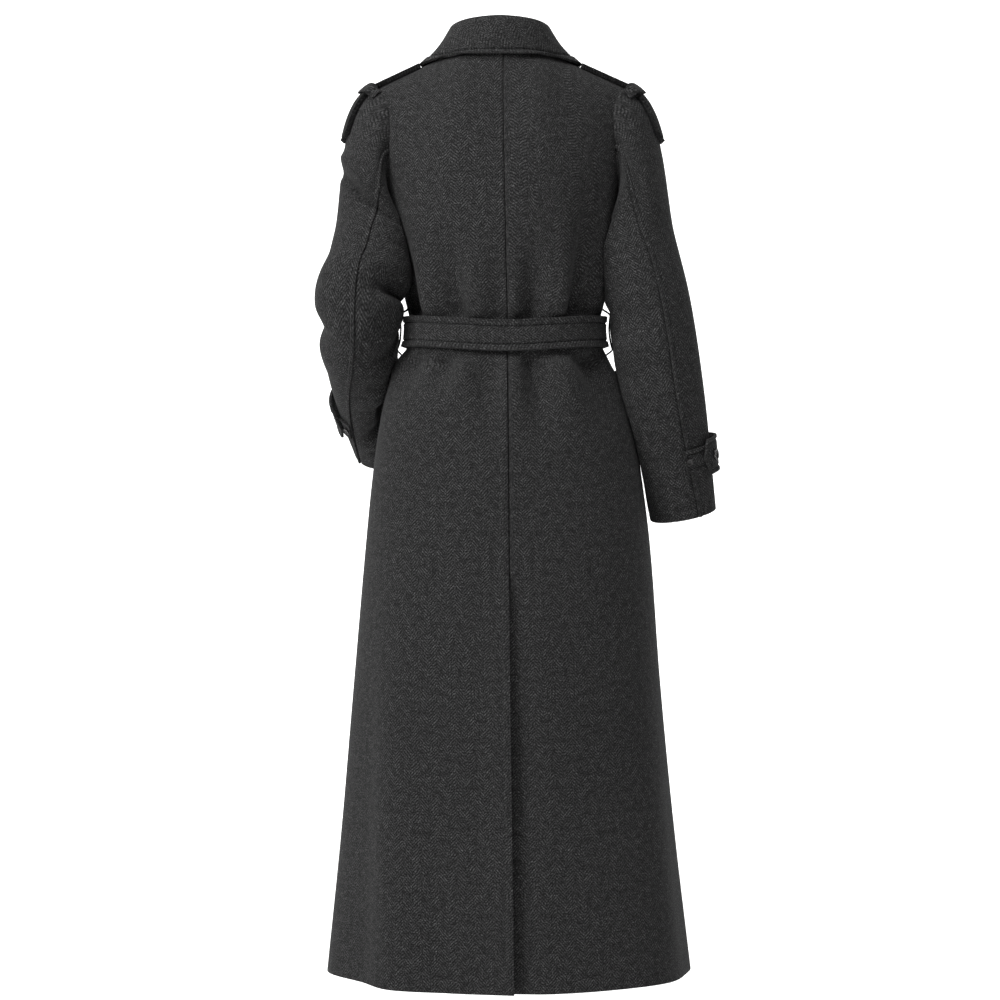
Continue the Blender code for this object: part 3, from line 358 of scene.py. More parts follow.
def activate(piece):
    activate_nothing()
    piece.select_set(True)
    bpy.context.view_layer.objects.active = piece


def modify(piece, kind, **settings):
    """Works one change into the mesh of a piece."""
    activate(piece)
    change = piece.modifiers.new(kind.lower(), kind)
    for name, value in settings.items():
        setattr(change, name, value)
    bpy.ops.object.modifier_apply(modifier=change.name)


def hand_in(piece, name):
    """Hides the imported part of the same name and hangs the piece from the root body."""
    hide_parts(name)
    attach(piece, "root")


def flat_lengths(points):
    """How far each point of a grid lies from its first column and its first row, measured on the cloth."""
    across = np.cumsum(np.linalg.norm(np.diff(points, axis=1, prepend=points[:, :1]), axis=2), axis=1)
    along = np.cumsum(np.linalg.norm(np.diff(points, axis=0, prepend=points[:1]), axis=2), axis=0)
    return np.stack([across, along], 2)


def soften(points, passes, strength):
    """Evens out a grid of points across the cloth, its edges left where they are."""
    for again in range(passes):
        middle = (points[:, :-2] + 2 * points[:, 1:-1] + points[:, 2:]) / 4
        points[:, 1:-1] += (middle - points[:, 1:-1]) * strength[:, None, None]


def cloth(name, columns, rows, place, thick, hand, shape=None, turned=False, start=(0.0, 0.0), held="hung",
          rests_on=(), smooth=None, seam_column=0, even_from=0, material=WOOL):
    """A shell of cloth whose outer face is place(u, v), moved out by shape(flat, u, v). Its flat map holds
    the cut's own coordinates in metres, so that the weave runs with the cloth: across from the seam
    column, and the same all round a tube from the row even_from on."""
    activate_nothing()
    bpy.ops.mesh.primitive_grid_add(x_subdivisions=columns, y_subdivisions=rows, size=1)
    piece = bpy.context.object
    piece.name = piece.data.name = name + "_cloth"
    mesh = piece.data
    at = np.empty(len(mesh.vertices) * 3)
    mesh.vertices.foreach_get("co", at)
    u, v = at.reshape(-1, 3)[:, 0] + 0.5, at.reshape(-1, 3)[:, 1] + 0.5
    i, j = np.rint(u * columns).astype(int), np.rint(v * rows).astype(int)
    points = np.empty((rows + 1, columns + 1, 3))
    points[j, i] = place(u, v)
    if smooth is not None:
        soften(points, SOFT_PASSES, smooth(np.linspace(0, 1, rows + 1)))
    normals = unit(np.cross(np.gradient(points, axis=1), np.gradient(points, axis=0))) * hand
    for again in range(NORMAL_PASSES):
        padded = np.pad(normals, ((1, 1), (1, 1), (0, 0)), mode="edge")
        normals = unit(sum(padded[a:a + rows + 1, b:b + columns + 1] for a in range(3) for b in range(3)))
    lengths = flat_lengths(points)
    flat = lengths[j, i]
    along = lengths[:, :, 1]
    if even_from:
        even = along[even_from:].mean(axis=1)
        along = along - along[even_from] + even[0]
        along[even_from:] = even[:, None]
    chart = np.stack([flat[:, 0] - lengths[:, seam_column, 0][j], along[j, i]], 1)
    if shape is not None:
        points[j, i] += normals[j, i] * shape(flat, u, v)[:, None]
    mesh.vertices.foreach_set("co", points[j, i].ravel())
    corners = np.empty(len(mesh.loops), int)
    mesh.loops.foreach_get("vertex_index", corners)
    chart = chart[:, ::-1] if turned else chart
    layer = mesh.uv_layers.active
    layer.name = "flat"
    layer.data.foreach_set("uv", (chart[corners] + start).ravel())
    if hand < 0:
        mesh.flip_normals()
    mesh.update()
    cells = points[1:, 1:] - points[:-1, :-1], points[1:, :-1] - points[:-1, 1:]
    area = np.linalg.norm(np.cross(*cells), axis=2).sum() / 2
    outer_count, wall_face = len(mesh.vertices), 2 * len(mesh.polygons)
    modify(piece, "SOLIDIFY", thickness=thick, offset=-1)
    chart = mesh.uv_layers["flat"].data
    for face in mesh.polygons[wall_face:]:
        for corner in face.loop_indices:
            if mesh.loops[corner].vertex_index >= outer_count:
                chart[corner].uv += Vector((thick, thick))
    modify(piece, "BEVEL", limit_method="ANGLE", angle_limit=RIM_ANGLE, width=thick * RIM_ROUND,
           segments=RIM_SEGMENTS)
    bpy.ops.object.shade_smooth_by_angle(angle=SMOOTH_ANGLE)
    mesh.materials.append(material)
    hand_in(piece, name)
    return piece


Line = namedtuple("Line", "height offset")
BACK_SEAM = [Line(*row) for row in (
    (-1.27, -0.012),
    (-0.75, -0.0055),
    (-0.37, -0.002),
    (-0.215, 0.0005),
    (0.025, -0.0011),
)]
CLOTH = 0.0028
PANEL_TOP = 0.0248
VENT_TOP, VENT_SLANT, VENT_UNDERLAP, VENT_FADE = -0.745, 0.03, 0.038, 0.045
LAP_LIFT, LAP_DIP, LAP_FADE_ANGLE, SEAM_STRIP_ANGLE = 0.0025, 0.0045, 16, 5
BACK_COLUMNS, BACK_ROWS, SEAM_COLUMN = 84, 250, 11
EDGE_COLUMNS, EDGE_CLOTH, SEAM_STRIP_SHARE = 0.12, 0.035, 0.05


def panel_level(v):
    return HEM + (PANEL_TOP - HEM) * v


def close_to_edges(u):
    """Columns lie closer together at both edges of a panel, where the seams are."""
    return np.interp(u, (0, EDGE_COLUMNS, 1 - EDGE_COLUMNS, 1), (0, EDGE_CLOTH, 1 - EDGE_CLOTH, 1))


def seam_angle(level):
    low = section(np.minimum(level, ARM_LEVEL))
    return np.degrees(np.arctan2(column(BACK_SEAM, "offset", level) - low[3], low[1]))


def vent_share(level):
    """0 on the closed seam, 1 on the open vent."""
    return ease((VENT_TOP + VENT_FADE - level) / VENT_FADE)


def back_left(u, v):
    level, u = panel_level(v), close_to_edges(u)
    inner = seam_angle(level)
    angle = inner + (armhole_angle(1, level) - inner) * u
    near = ease(1 - (angle - inner) / LAP_FADE_ANGLE)
    return body(1, angle, level, LAP_LIFT * vent_share(level) * near)


def back_right(u, v):
    level, u = panel_level(v), close_to_edges(u)
    seam = seam_angle(level)
    reach = np.degrees(VENT_UNDERLAP / section(np.minimum(level, ARM_LEVEL))[1])
    inner = seam + np.maximum(reach * np.clip((VENT_TOP - level) / VENT_SLANT, 0.0, 1.0), SEAM_TUCK_TURN)
    beside = seam - SEAM_STRIP_ANGLE
    strip = inner + (beside - inner) * u / SEAM_STRIP_SHARE
    rest = beside + (-armhole_angle(1, level) - beside) * (u - SEAM_STRIP_SHARE) / (1 - SEAM_STRIP_SHARE)
    angle = np.where(u < SEAM_STRIP_SHARE, strip, rest)
    near = ease(1 - (seam - angle) / LAP_FADE_ANGLE)
    return body(1, angle, level, -LAP_DIP * vent_share(level) * near)


SEAM_WIDTH, SEAM_DEPTH, SEAM_TUCK, SEAM_TUCK_REACH, SEAM_TUCK_TURN = 0.0026, 0.001, 0.004, 1.5, 0.6
ARMPIT_SOFT_START, ARMPIT_SOFT = 0.02, 0.05
STRIP_TOP, STRIP_FADE, STRIP_STEP = -0.4, 0.03, 0.002
STRIP_WIDTH, STRIP_RISE, VENT_LIFT, VENT_ROUND, VENT_EASE = 0.0095, 0.0018, 0.0034, 0.04, 0.22


def above_armpit(v):
    return ease((panel_level(v) - ARM_LEVEL + ARMPIT_SOFT_START) / ARMPIT_SOFT)


def back_left_shape(flat, u, v):
    level = panel_level(v)
    groove = -SEAM_DEPTH * ease(1 - flat[:, 0] / SEAM_WIDTH) * (1 - vent_share(level))
    below = ease((STRIP_TOP - level) / STRIP_FADE)
    strip = STRIP_RISE * below * ease((STRIP_WIDTH - flat[:, 0]) / STRIP_STEP)
    lap = VENT_LIFT * ease((VENT_TOP - level) / VENT_EASE) * ease(1 - flat[:, 0] / VENT_ROUND)
    return groove + strip + lap


def back_right_shape(flat, u, v):
    level = panel_level(v)
    groove = -SEAM_TUCK * ease(SEAM_TUCK_REACH - flat[:, 0] / SEAM_WIDTH) * (1 - vent_share(level))
    dip = VENT_LIFT * ease((VENT_TOP - level) / VENT_EASE)
    return groove - dip * ease(1 - (flat[:, 0] - VENT_UNDERLAP) / VENT_ROUND)


cloth("back_left", BACK_COLUMNS, BACK_ROWS, back_left, CLOTH, -1, back_left_shape, smooth=above_armpit)
cloth("back_right", BACK_COLUMNS, BACK_ROWS, back_right, CLOTH, 1, back_right_shape, start=(0.0047, 0.0),
      smooth=above_armpit, seam_column=SEAM_COLUMN)

# The fronts. Two panels of the same wool, closed to the neck and held by the belt, the right over the left.
# They meet the backs at the side and shoulder seams.
FRONT_LAP = [Line(*row) for row in (
    (-1.27, 0.075),
    (-0.215, 0.062),
    (0.025, 0.014),
)]
FRONT_COLUMNS, FRONT_ROWS = 60, 160
SIDE_SEAM_DEPTH, SIDE_SEAM_SHARE = 0.001, 0.012


def lap_angle(level):
    depth = section(np.minimum(level, ARM_LEVEL))[2]
    return np.degrees(np.arctan2(column(FRONT_LAP, "offset", level), depth))


def front_right(u, v):
    level, u = panel_level(v), close_to_edges(u)
    inner = lap_angle(level)
    angle = inner + (-armhole_angle(-1, level) - inner) * u
    return body(-1, angle, level, LAP_LIFT * ease((angle + inner + LAP_FADE_ANGLE) / LAP_FADE_ANGLE))


def front_left(u, v):
    level, u = panel_level(v), close_to_edges(u)
    inner = -lap_angle(level)
    angle = inner + (armhole_angle(-1, level) - inner) * u
    return body(-1, angle, level, -LAP_DIP * ease((LAP_FADE_ANGLE - inner - angle) / LAP_FADE_ANGLE))


def seam_dip(share):
    """The dip of the cloth into a plain seam at the edge of a panel."""
    return -SIDE_SEAM_DEPTH * ease(1 - share / SIDE_SEAM_SHARE)


def front_shape(flat, u, v):
    return seam_dip(1 - close_to_edges(u))


cloth("front_right", FRONT_COLUMNS, FRONT_ROWS, front_right, CLOTH, -1, front_shape, start=(0.003, 0.001))
cloth("front_left", FRONT_COLUMNS, FRONT_ROWS, front_left, CLOTH, 1, front_shape, start=(0.006, 0.002))

# The sleeves. Two-piece wool sleeves set into the armholes, each with a raised seam down the back. The right
# one hangs straight and the left one is bent at the elbow, its cuff towards the front.
Station = namedtuple("Station", "x y z across deep")
ARMS = {
    1: [Station(*row) for row in (
        (0.182, 0.008, -0.245, 0.06, 0.066),
        (0.19, 0.022, -0.28, 0.06, 0.065),
        (0.203, 0.034, -0.315, 0.06, 0.064),
        (0.2035, 0.03, -0.352, 0.0575, 0.064),
        (0.1985, -0.02, -0.415, 0.054, 0.058),
        (0.187, -0.085, -0.477, 0.05, 0.052),
        (0.175, -0.14, -0.527, 0.0455, 0.0465),
    )],
    -1: [Station(*row) for row in (
        (0.18, 0.006, -0.255, 0.0625, 0.066),
        (0.1995, 0.02, -0.33, 0.0605, 0.061),
        (0.22, 0.028, -0.465, 0.06, 0.055),
        (0.2355, 0.017, -0.548, 0.054, 0.051),
        (0.251, 0.002, -0.626, 0.047, 0.0475),
    )],
}
SleeveSeam = namedtuple("SleeveSeam", "run angle")
SEAM_RUNS = (0.0, 1.0, 1.35, 1.6, 2.0)
BACK_SEAMS = {
    1: [SleeveSeam(*row) for row in zip(SEAM_RUNS, (112, 88, 84, 64, 40))],
    -1: [SleeveSeam(*row) for row in zip(SEAM_RUNS, (108, 78, 74, 72, 64))],
}
FRONT_SEAM_TURN = 186
SleeveFold = namedtuple("SleeveFold", "hand run angle long wide slant depth")
SLEEVE_FOLDS = [SleeveFold(*row) for row in (
    (1, 0.62, 62, 0.1, 26, 150, 0.005),
    (1, 0.8, 66, 0.09, 26, 150, -0.006),
    (1, 1.25, 0, 0.05, 40, 60, 0.003),
    (1, 1.345, 5, 0.04, 42, 60, -0.007),
    (1, 1.44, 5, 0.055, 40, 60, 0.004),
    (1, 1.13, 150, 0.04, 40, -90, 0.006),
    (1, 1.22, 150, 0.035, 40, -90, -0.008),
    (1, 1.3, 150, 0.04, 40, -90, 0.007),
    (1, 1.39, 152, 0.035, 40, -90, -0.008),
    (1, 1.47, 150, 0.045, 40, -90, 0.006),
    (1, 0.63, 50, 0.12, 12, 400, 0.0085),
    (1, 0.71, 55, 0.12, 14, 400, -0.01),
    (1, 1.19, 148, 0.03, 24, -40, -0.012),
    (1, 1.245, 140, 0.024, 26, -60, 0.0055),
    (1, 1.31, 136, 0.024, 24, -60, -0.0065),
    (1, 1.37, 140, 0.026, 26, -60, 0.005),
    (1, 1.575, 120, 0.04, 20, -500, 0.01),
    (1, 1.69, 150, 0.042, 24, -250, -0.042),
    (1, 1.77, 116, 0.045, 24, -300, -0.024),
    (-1, 0.7, 58, 0.16, 16, 20, 0.004),
    (-1, 0.78, 96, 0.18, 18, 20, -0.004),
    (-1, 1.28, 130, 0.05, 34, -60, -0.004),
    (-1, 1.38, 126, 0.05, 34, -60, 0.003),
    (-1, 1.47, 120, 0.04, 34, -60, -0.003),
)]
HEAD_REACH, ARMPIT_REACH, HEAD_RUN, ARMPIT_RUN = 0.175, 0.03, 0.165, 0.04
HEAD_SLOPE, ARMPIT_SLOPE = np.array((0.9, 0.0, -0.43)), np.array((0.72, 0.0, -0.7))
PITCH_SPREAD, ARM_STEP = 0.45, 0.02
SLEEVE_CLEAR, POCKET_CLEAR, BELT_CLEAR, CLEAR_START, CLEAR_SOFT = 0.0014, 0.009, 0.0165, 0.3, 0.0035
BELT_CLEAR_MIDDLE, BELT_CLEAR_REACH, BELT_CLEAR_HEAD_FADE, BELT_CLEAR_FOOT_FADE = -0.385, 0.058, 0.022, 0.058
ArmRow = namedtuple("ArmRow", "share x y z across deep")


def arm_rows(hand):
    points = np.array([row[:3] for row in ARMS[hand]])
    lengths = np.concatenate([[0.0], np.cumsum(np.linalg.norm(np.diff(points, axis=0), axis=1))])
    return [ArmRow(at, *row) for at, row in zip(lengths / lengths[-1], ARMS[hand])], lengths[-1]


def arm_centre(hand, share):
    rows = arm_rows(hand)[0]
    return np.stack([column(rows, name, share) for name in "xyz"], -1)


def arm_frame(hand, share):
    """Centre, way along, way out and way back of sections of the sleeve, and their two half sizes."""
    rows = arm_rows(hand)[0]
    share = np.clip(share, 0.0, 1.0)
    ahead = arm_centre(hand, np.minimum(share + ARM_STEP, 1.0))
    along = unit(ahead - arm_centre(hand, np.maximum(share - ARM_STEP, 0.0)))
    out = unit(np.array((1.0, 0, 0)) - along * along[..., :1])
    sizes = [column(rows, name, share)[..., None] for name in ("across", "deep")]
    return arm_centre(hand, share), along, out, unit(np.cross(out, along)), *sizes


def arm_ring(hand, angle, share):
    centre, along, out, back, across, deep = arm_frame(hand, share)
    turn = np.radians(angle)[..., None]
    return centre + out * across * np.cos(turn) + back * deep * np.sin(turn)


def armhole(angle, hand):
    """Points of the armhole, from the shoulder point (0) by the back to the armpit (180), then the front."""
    angle = np.mod(angle, 360)
    facing = np.where(angle <= 180, 1, -1)
    share = np.where(facing > 0, 1 - angle / 180, (angle - 180) / 180)
    level = ARM_LEVEL + (NECK_LEVEL - ARM_LEVEL) * share
    return body(facing, hand * armhole_angle(facing, level), level) * (hand, 1, 1)


def keep_clear(point, hand, run):
    """Moves points of the sleeve out of the body and the belt that it hangs against."""
    above = np.maximum(point[..., 2] - ARM_LEVEL, 0.0)
    level = np.minimum(point[..., 2], ARM_LEVEL)
    facing = np.where(point[..., 1] >= 0, 1, -1)
    lean = section(level)[3] * hand
    aside, away = point[..., 0] - lean, point[..., 1]
    reach = np.hypot(aside, away)
    angle = np.degrees(np.arctan2(aside, np.abs(away)))
    beside = np.where(facing < 0, POCKET_CLEAR, SLEEVE_CLEAR)
    fade = np.where(point[..., 2] > BELT_CLEAR_MIDDLE, BELT_CLEAR_HEAD_FADE, BELT_CLEAR_FOOT_FADE)
    near_belt = ease((BELT_CLEAR_REACH - np.abs(point[..., 2] - BELT_CLEAR_MIDDLE)) / fade)
    room = (beside + (BELT_CLEAR - beside) * near_belt) * np.minimum(run / CLEAR_START, 1.0)
    limit = radius(facing, angle * hand, level) + room - above
    gap = reach - limit
    soft = CLEAR_SOFT * np.exp(np.minimum((gap - CLEAR_SOFT) / CLEAR_SOFT, 0.0))
    pushed = limit + np.where(run > CLEAR_START, soft, np.maximum(gap, 0.0))
    grow = np.where(gap > CLEAR_SOFT, 1.0, pushed / np.maximum(reach, 1e-6))
    return np.stack([aside * grow + lean, away * grow, point[..., 2]], -1)


def sleeve_fold(hand, angle, run):
    total = 0.0
    for fold in SLEEVE_FOLDS:
        apart = np.mod(angle - fold.angle - fold.slant * (run - fold.run) + 180, 360) - 180
        if fold.hand == hand:
            total += fold.depth * bell(apart / fold.wide) * bell((run - fold.run) / fold.long)
    return total


def sleeve(hand, angle, run):
    """Points of the outer cloth of a sleeve. Run counts 0 to 1 over the sleeve head and 1 to 2 down to the
    cuff, angle from the outer side (0) to the back (90)."""
    angle, run = np.broadcast_arrays(np.asarray(angle, float), np.asarray(run, float))
    share = np.clip(run - 1, 0.0, 1.0)
    tube, tube_middle = arm_ring(hand, angle, share), arm_frame(hand, share)[0]
    top = ((1 + np.cos(np.radians(angle))) / 2)[..., None]
    slope = ARMPIT_SLOPE + (HEAD_SLOPE - ARMPIT_SLOPE) * top
    slope = slope + np.stack([0 * angle, PITCH_SPREAD * np.sin(np.radians(angle)), 0 * angle], -1)
    start = armhole(angle, hand)
    end = keep_clear(arm_ring(hand, angle, np.zeros(angle.shape)), hand, np.ones(angle.shape))
    first_middle, first_along = arm_frame(hand, np.zeros(angle.shape))[:2]
    reach = ARMPIT_REACH + (HEAD_REACH - ARMPIT_REACH) * top
    length = ARMPIT_RUN + (HEAD_RUN - ARMPIT_RUN) * top
    head = hermite(start, slope * reach, end, first_along * length, np.minimum(run, 1.0)[..., None])
    hole_middle = armhole(np.array((0.0, 180.0)), hand).mean(axis=0)
    head_middle = hole_middle + (first_middle - hole_middle) * run[..., None]
    point = np.where(run[..., None] >= 1, tube, head)
    middle = np.where(run[..., None] >= 1, tube_middle, head_middle)
    point = point + unit(point - middle) * sleeve_fold(hand, angle, run)[..., None]
    return keep_clear(point, hand, run) * (hand, 1, 1)


def sleeve_seam(hand, run):
    return column(BACK_SEAMS[hand], "angle", run)


HEAD_ROWS, TUBE_ROWS, UPPER_COLUMNS, UNDER_COLUMNS = 60, 140, 60, 56


def sleeve_run(v):
    row = v * (HEAD_ROWS + TUBE_ROWS)
    return np.where(row < HEAD_ROWS, row / HEAD_ROWS, 1 + (row - HEAD_ROWS) / TUBE_ROWS)


def sleeve_panel(hand, upper, u, v):
    run = sleeve_run(v)
    seam = sleeve_seam(hand, run)
    front = seam + FRONT_SEAM_TURN
    start, end = (seam, front - 360) if upper else (front, seam - UNDER_TUCK_TURN)
    return sleeve(hand, start + (end - start) * close_to_edges(u), run)


CUFF_HEM, CUFF_HEM_DEPTH, CUFF_HEM_WIDE, LAST_ROW = 0.031, 0.0012, 0.002, 0.999
UNDER_TUCK, UNDER_TUCK_TURN, UNDER_TUCK_SHARE, UNDER_TUCK_FADE = 0.0016, 5.0, 0.04, 0.012
RIDGE_STEP, STITCH_AWAY, STITCH_WIDE = 0.002, 0.001, 0.0011
Ridge = namedtuple("Ridge", "width rise groove")
SLEEVE_RIDGE = Ridge(0.006, 0.0017, 0.0012)
SIDES = ((1, "left"), (-1, "right"))


def edge_ridge(away, ridge):
    """A turned edge, a little thicker than the cloth, with the groove of its topstitching."""
    raised = ridge.rise * ease((ridge.width - away) / RIDGE_STEP)
    return raised - ridge.groove * bell((away - ridge.width - STITCH_AWAY) / STITCH_WIDE)


def cuff_hem(flat, v):
    """The stitched line of the turned-up hem at the cuff."""
    cuff = flat[:, 1][v > LAST_ROW].mean()
    return -CUFF_HEM_DEPTH * bell((cuff - CUFF_HEM - flat[:, 1]) / CUFF_HEM_WIDE)


def upper_shape(flat, u, v):
    return edge_ridge(flat[:, 0], SLEEVE_RIDGE) + seam_dip(1 - close_to_edges(u)) + cuff_hem(flat, v)


def under_shape(flat, u, v):
    edge = close_to_edges(u)
    back = -UNDER_TUCK * ease((UNDER_TUCK_SHARE - (1 - edge)) / UNDER_TUCK_FADE)
    return back + seam_dip(edge) + cuff_hem(flat, v)


for hand, side in SIDES:
    panels = (f"back_{side}", f"front_{side}")
    cloth(f"sleeve_{side}_upper", UPPER_COLUMNS, HEAD_ROWS + TUBE_ROWS, partial(sleeve_panel, hand, True),
          CLOTH, hand, upper_shape, even_from=HEAD_ROWS, rests_on=panels)
    cloth(f"sleeve_{side}_under", UNDER_COLUMNS, HEAD_ROWS + TUBE_ROWS, partial(sleeve_panel, hand, False),
          CLOTH, hand, under_shape, seam_column=-1, even_from=HEAD_ROWS, rests_on=panels)

# The collar. A stand sewn to the neckline and a fall that rolls over it and lies on the shoulders, in two
# layers of the wool with a topstitched edge.
CollarRow = namedtuple("CollarRow", "azimuth rise out angle share")
COLLAR = [CollarRow(*row) for row in (
    (0, 0.035, -0.002, 0, 0.94),
    (25, 0.034, -0.002, 16.5, 0.905),
    (45, 0.033, -0.002, 29.5, 0.86),
    (62, 0.0317, -0.002, 42, 0.84),
    (77, 0.0302, -0.002, 51.5, 0.89),
    (90, 0.0285, -0.002, 58.5, 1.00),
    (135, 0.028, 0.001, 50, 0.82),
    (180, 0.026, 0.004, 24, 0.58),
)]
COLLAR_END, COLLAR_CLOTH, LAID_GAP = 176, 0.0042, 0.0008
ROLL, ROLL_OFFSET, ROLL_SHARE, ROLL_TURN = 0.0055, 0.0015, 0.4, 150
FALL_SPRING, STAND_GAP, FALL_LIFT = 0.05, 0.0004, 0.0018
TURN_STEP, NEAR_TURN, NEAR_RISE = 0.5, 8, 0.004
UP = np.array((0.0, 0.0, 1.0))


def half(turn):
    """Which half of the coat a turn from the centre back lies on, and its angle there."""
    facing = np.where(turn <= 90, 1, -1)
    return facing, np.where(facing > 0, turn, 180 - turn)


def neckline(azimuth):
    facing, angle = half(np.abs(azimuth))
    point = top_edge(facing, NECK_SHARE * angle / 90)
    point[..., 0] = point[..., 0] * np.where(azimuth < 0, -1, 1) + NECK_SHIFT
    return point


def neck_out(azimuth):
    along = neckline(azimuth + TURN_STEP) - neckline(azimuth - TURN_STEP)
    return unit(np.stack([-along[..., 1], along[..., 0], 0 * along[..., 0]], -1))


def stand_point(azimuth, share):
    size = np.abs(azimuth)
    rise = UP * (STAND_GAP + column(COLLAR, "rise", size) * share)[..., None]
    return neckline(azimuth) + rise + neck_out(azimuth) * (column(COLLAR, "out", size) * share)[..., None]


def fold_up(azimuth):
    """Square to the stand's upper edge, and upwards."""
    along = unit(stand_point(azimuth + TURN_STEP, 1.0) - stand_point(azimuth - TURN_STEP, 1.0))
    return unit(UP - along * along[..., 2:])


def collar_azimuth(u):
    return COLLAR_END * (2 * u - 1)


def collar_stand(u, v):
    return stand_point(collar_azimuth(u), v)


def under_fall(azimuth, share):
    """The body under the fall, from the neckline to the fall's edge, and the way out of it."""
    size = np.abs(azimuth)
    hand = np.where(azimuth < 0, -1, 1)
    facing, neck_angle = half(size)
    neck_angle = NECK_SHARE * neck_angle
    angle = hand * (neck_angle + (column(COLLAR, "angle", size) - neck_angle) * share)
    reach = 1 + (np.minimum(column(COLLAR, "share", size), 1.0) - 1) * share
    level = ARM_LEVEL + (NECK_LEVEL - ARM_LEVEL) * reach
    point = body(facing, angle, level)
    around = body(facing, angle + NEAR_TURN, level) - body(facing, angle - NEAR_TURN, level)
    upwards = point - body(facing, angle, level - NEAR_RISE)
    return point, unit(np.cross(around, upwards)) * -facing[..., None]


def collar_fall(u, v):
    azimuth = collar_azimuth(u)
    out, up = neck_out(azimuth), fold_up(azimuth)
    centre = stand_point(azimuth, np.ones(azimuth.shape)) + out * ROLL_OFFSET + up * LAID_GAP
    turn = np.radians(180 - ROLL_TURN * np.minimum(v / ROLL_SHARE, 1.0))[..., None]
    rolled = centre + (out * np.cos(turn) + up * np.sin(turn)) * ROLL
    share = np.maximum((v - ROLL_SHARE) / (1 - ROLL_SHARE), 0.0)
    room = COLLAR_CLOTH + FALL_LIFT
    edge, edge_out = under_fall(azimuth, np.ones(azimuth.shape))
    edge = edge + edge_out * room
    slope = (out * np.sin(turn) - up * np.cos(turn)) * FALL_SPRING
    point = hermite(rolled, slope, edge, edge - rolled, share[..., None])
    below, below_out = under_fall(azimuth, share)
    short = np.maximum(room - ((point - below) * below_out).sum(-1), 0.0)
    fall = point + below_out * short[..., None]
    return np.where(v[..., None] <= ROLL_SHARE, rolled, fall)


COLLAR_COLUMNS, FALL_ROWS, STAND_ROWS = 180, 64, 8
COLLAR_RIDGE, EDGE_PER_DEGREE, ROLL_FADE = Ridge(0.0068, 0.0018, 0.0018), 0.0022, 0.35


def below_roll(v):
    return ease((v - ROLL_SHARE) / ROLL_FADE)


def fall_shape(flat, u, v):
    length = flat[v > LAST_ROW][:, 1].mean()
    away = np.minimum(length - flat[:, 1], np.minimum(u, 1 - u) * COLLAR_END * EDGE_PER_DEGREE)
    return edge_ridge(away, COLLAR_RIDGE)


BODY_PANELS = ("back_left", "back_right", "front_left", "front_right")
cloth("collar_stand", COLLAR_COLUMNS, STAND_ROWS, collar_stand, CLOTH, -1, held="folded",
      rests_on=BODY_PANELS)
cloth("collar_fall", COLLAR_COLUMNS, FALL_ROWS, collar_fall, COLLAR_CLOTH, 1, fall_shape, held="folded",
      rests_on=("collar_stand",), smooth=below_roll)

# Shoulder straps and loops. Stiffened double wool straps lie along the shoulder seams and over the sleeve
# heads, each held down by a short loop sewn to the sleeve head.
STRAP_CLOTH, STRAP_END_ROUND = 0.0065, 0.035
# The shoulder straps get a darker copy of the wool: painted shade for their edges, which face away from the
# light.
STRAP_PAINTED_SHADE_WOOL = wool("painted_shade_wool", 0.45)
STRAP_START_ANGLE, STRAP_END_RUN, STRAP_SEAM_SHARE = 58.2, 0.41, 0.43
STRAP_HALF, STRAP_REACH, STRAP_TURN = 0.0225, 0.22, 18.5
SHOULDER_RIDGE = Ridge(0.005, 0.0008, 0.001)
STRAP_GRID, LOOP_GRID = (24, 70), (48, 12)
LOOP_START_RUN, LOOP_END_RUN, LOOP_HALF, LOOP_CREST, LOOP_FOOT = 0.012, 0.105, 0.042, 0.0245, 0.034


def epaulette(hand, u, v):
    aside = STRAP_HALF * (2 * u - 1)
    angle = STRAP_START_ANGLE + (90 - STRAP_START_ANGLE) * np.minimum(v / STRAP_SEAM_SHARE, 1.0)
    level = ARM_LEVEL + (NECK_LEVEL - ARM_LEVEL) * (1 - np.abs(aside) / STRAP_REACH)
    inner = body(np.where(aside >= 0, 1, -1), hand * angle, level)
    end = STRAP_END_RUN - STRAP_END_ROUND * np.abs(aside / STRAP_HALF) ** 3
    run = end * np.maximum((v - STRAP_SEAM_SHARE) / (1 - STRAP_SEAM_SHARE), 0.0)
    outer = sleeve(hand, aside / STRAP_HALF * STRAP_TURN, run)
    return np.where(v[..., None] < STRAP_SEAM_SHARE, inner, outer)


def epaulette_loop(hand, u, v):
    run = LOOP_START_RUN + (LOOP_END_RUN - LOOP_START_RUN) * v
    return sleeve(hand, LOOP_HALF * (2 * u - 1) / STRAP_HALF * STRAP_TURN, run)


def strap_shape(flat, u, v):
    away = np.minimum(STRAP_HALF * 2 * np.minimum(u, 1 - u), flat[:, 1].max() - flat[:, 1])
    return STRAP_CLOTH + LAID_GAP + edge_ridge(away, SHOULDER_RIDGE)


def loop_shape(flat, u, v):
    aside = np.abs(LOOP_HALF * (2 * u - 1))
    over = ease((LOOP_FOOT - aside) / (LOOP_FOOT - LOOP_CREST))
    return CLOTH + LAID_GAP + (STRAP_CLOTH + 2 * LAID_GAP) * over


for hand, side in SIDES:
    # The strap takes the darker wool, painted shade.
    cloth(f"epaulette_{side}", *STRAP_GRID, partial(epaulette, hand), STRAP_CLOTH, -hand, strap_shape,
          held="laid", rests_on=(f"back_{side}", f"front_{side}", f"sleeve_{side}_upper"),
          material=STRAP_PAINTED_SHADE_WOOL)
    cloth(f"epaulette_loop_{side}", *LOOP_GRID, partial(epaulette_loop, hand), CLOTH, -hand, loop_shape,
          held="laid", rests_on=(f"epaulette_{side}",))

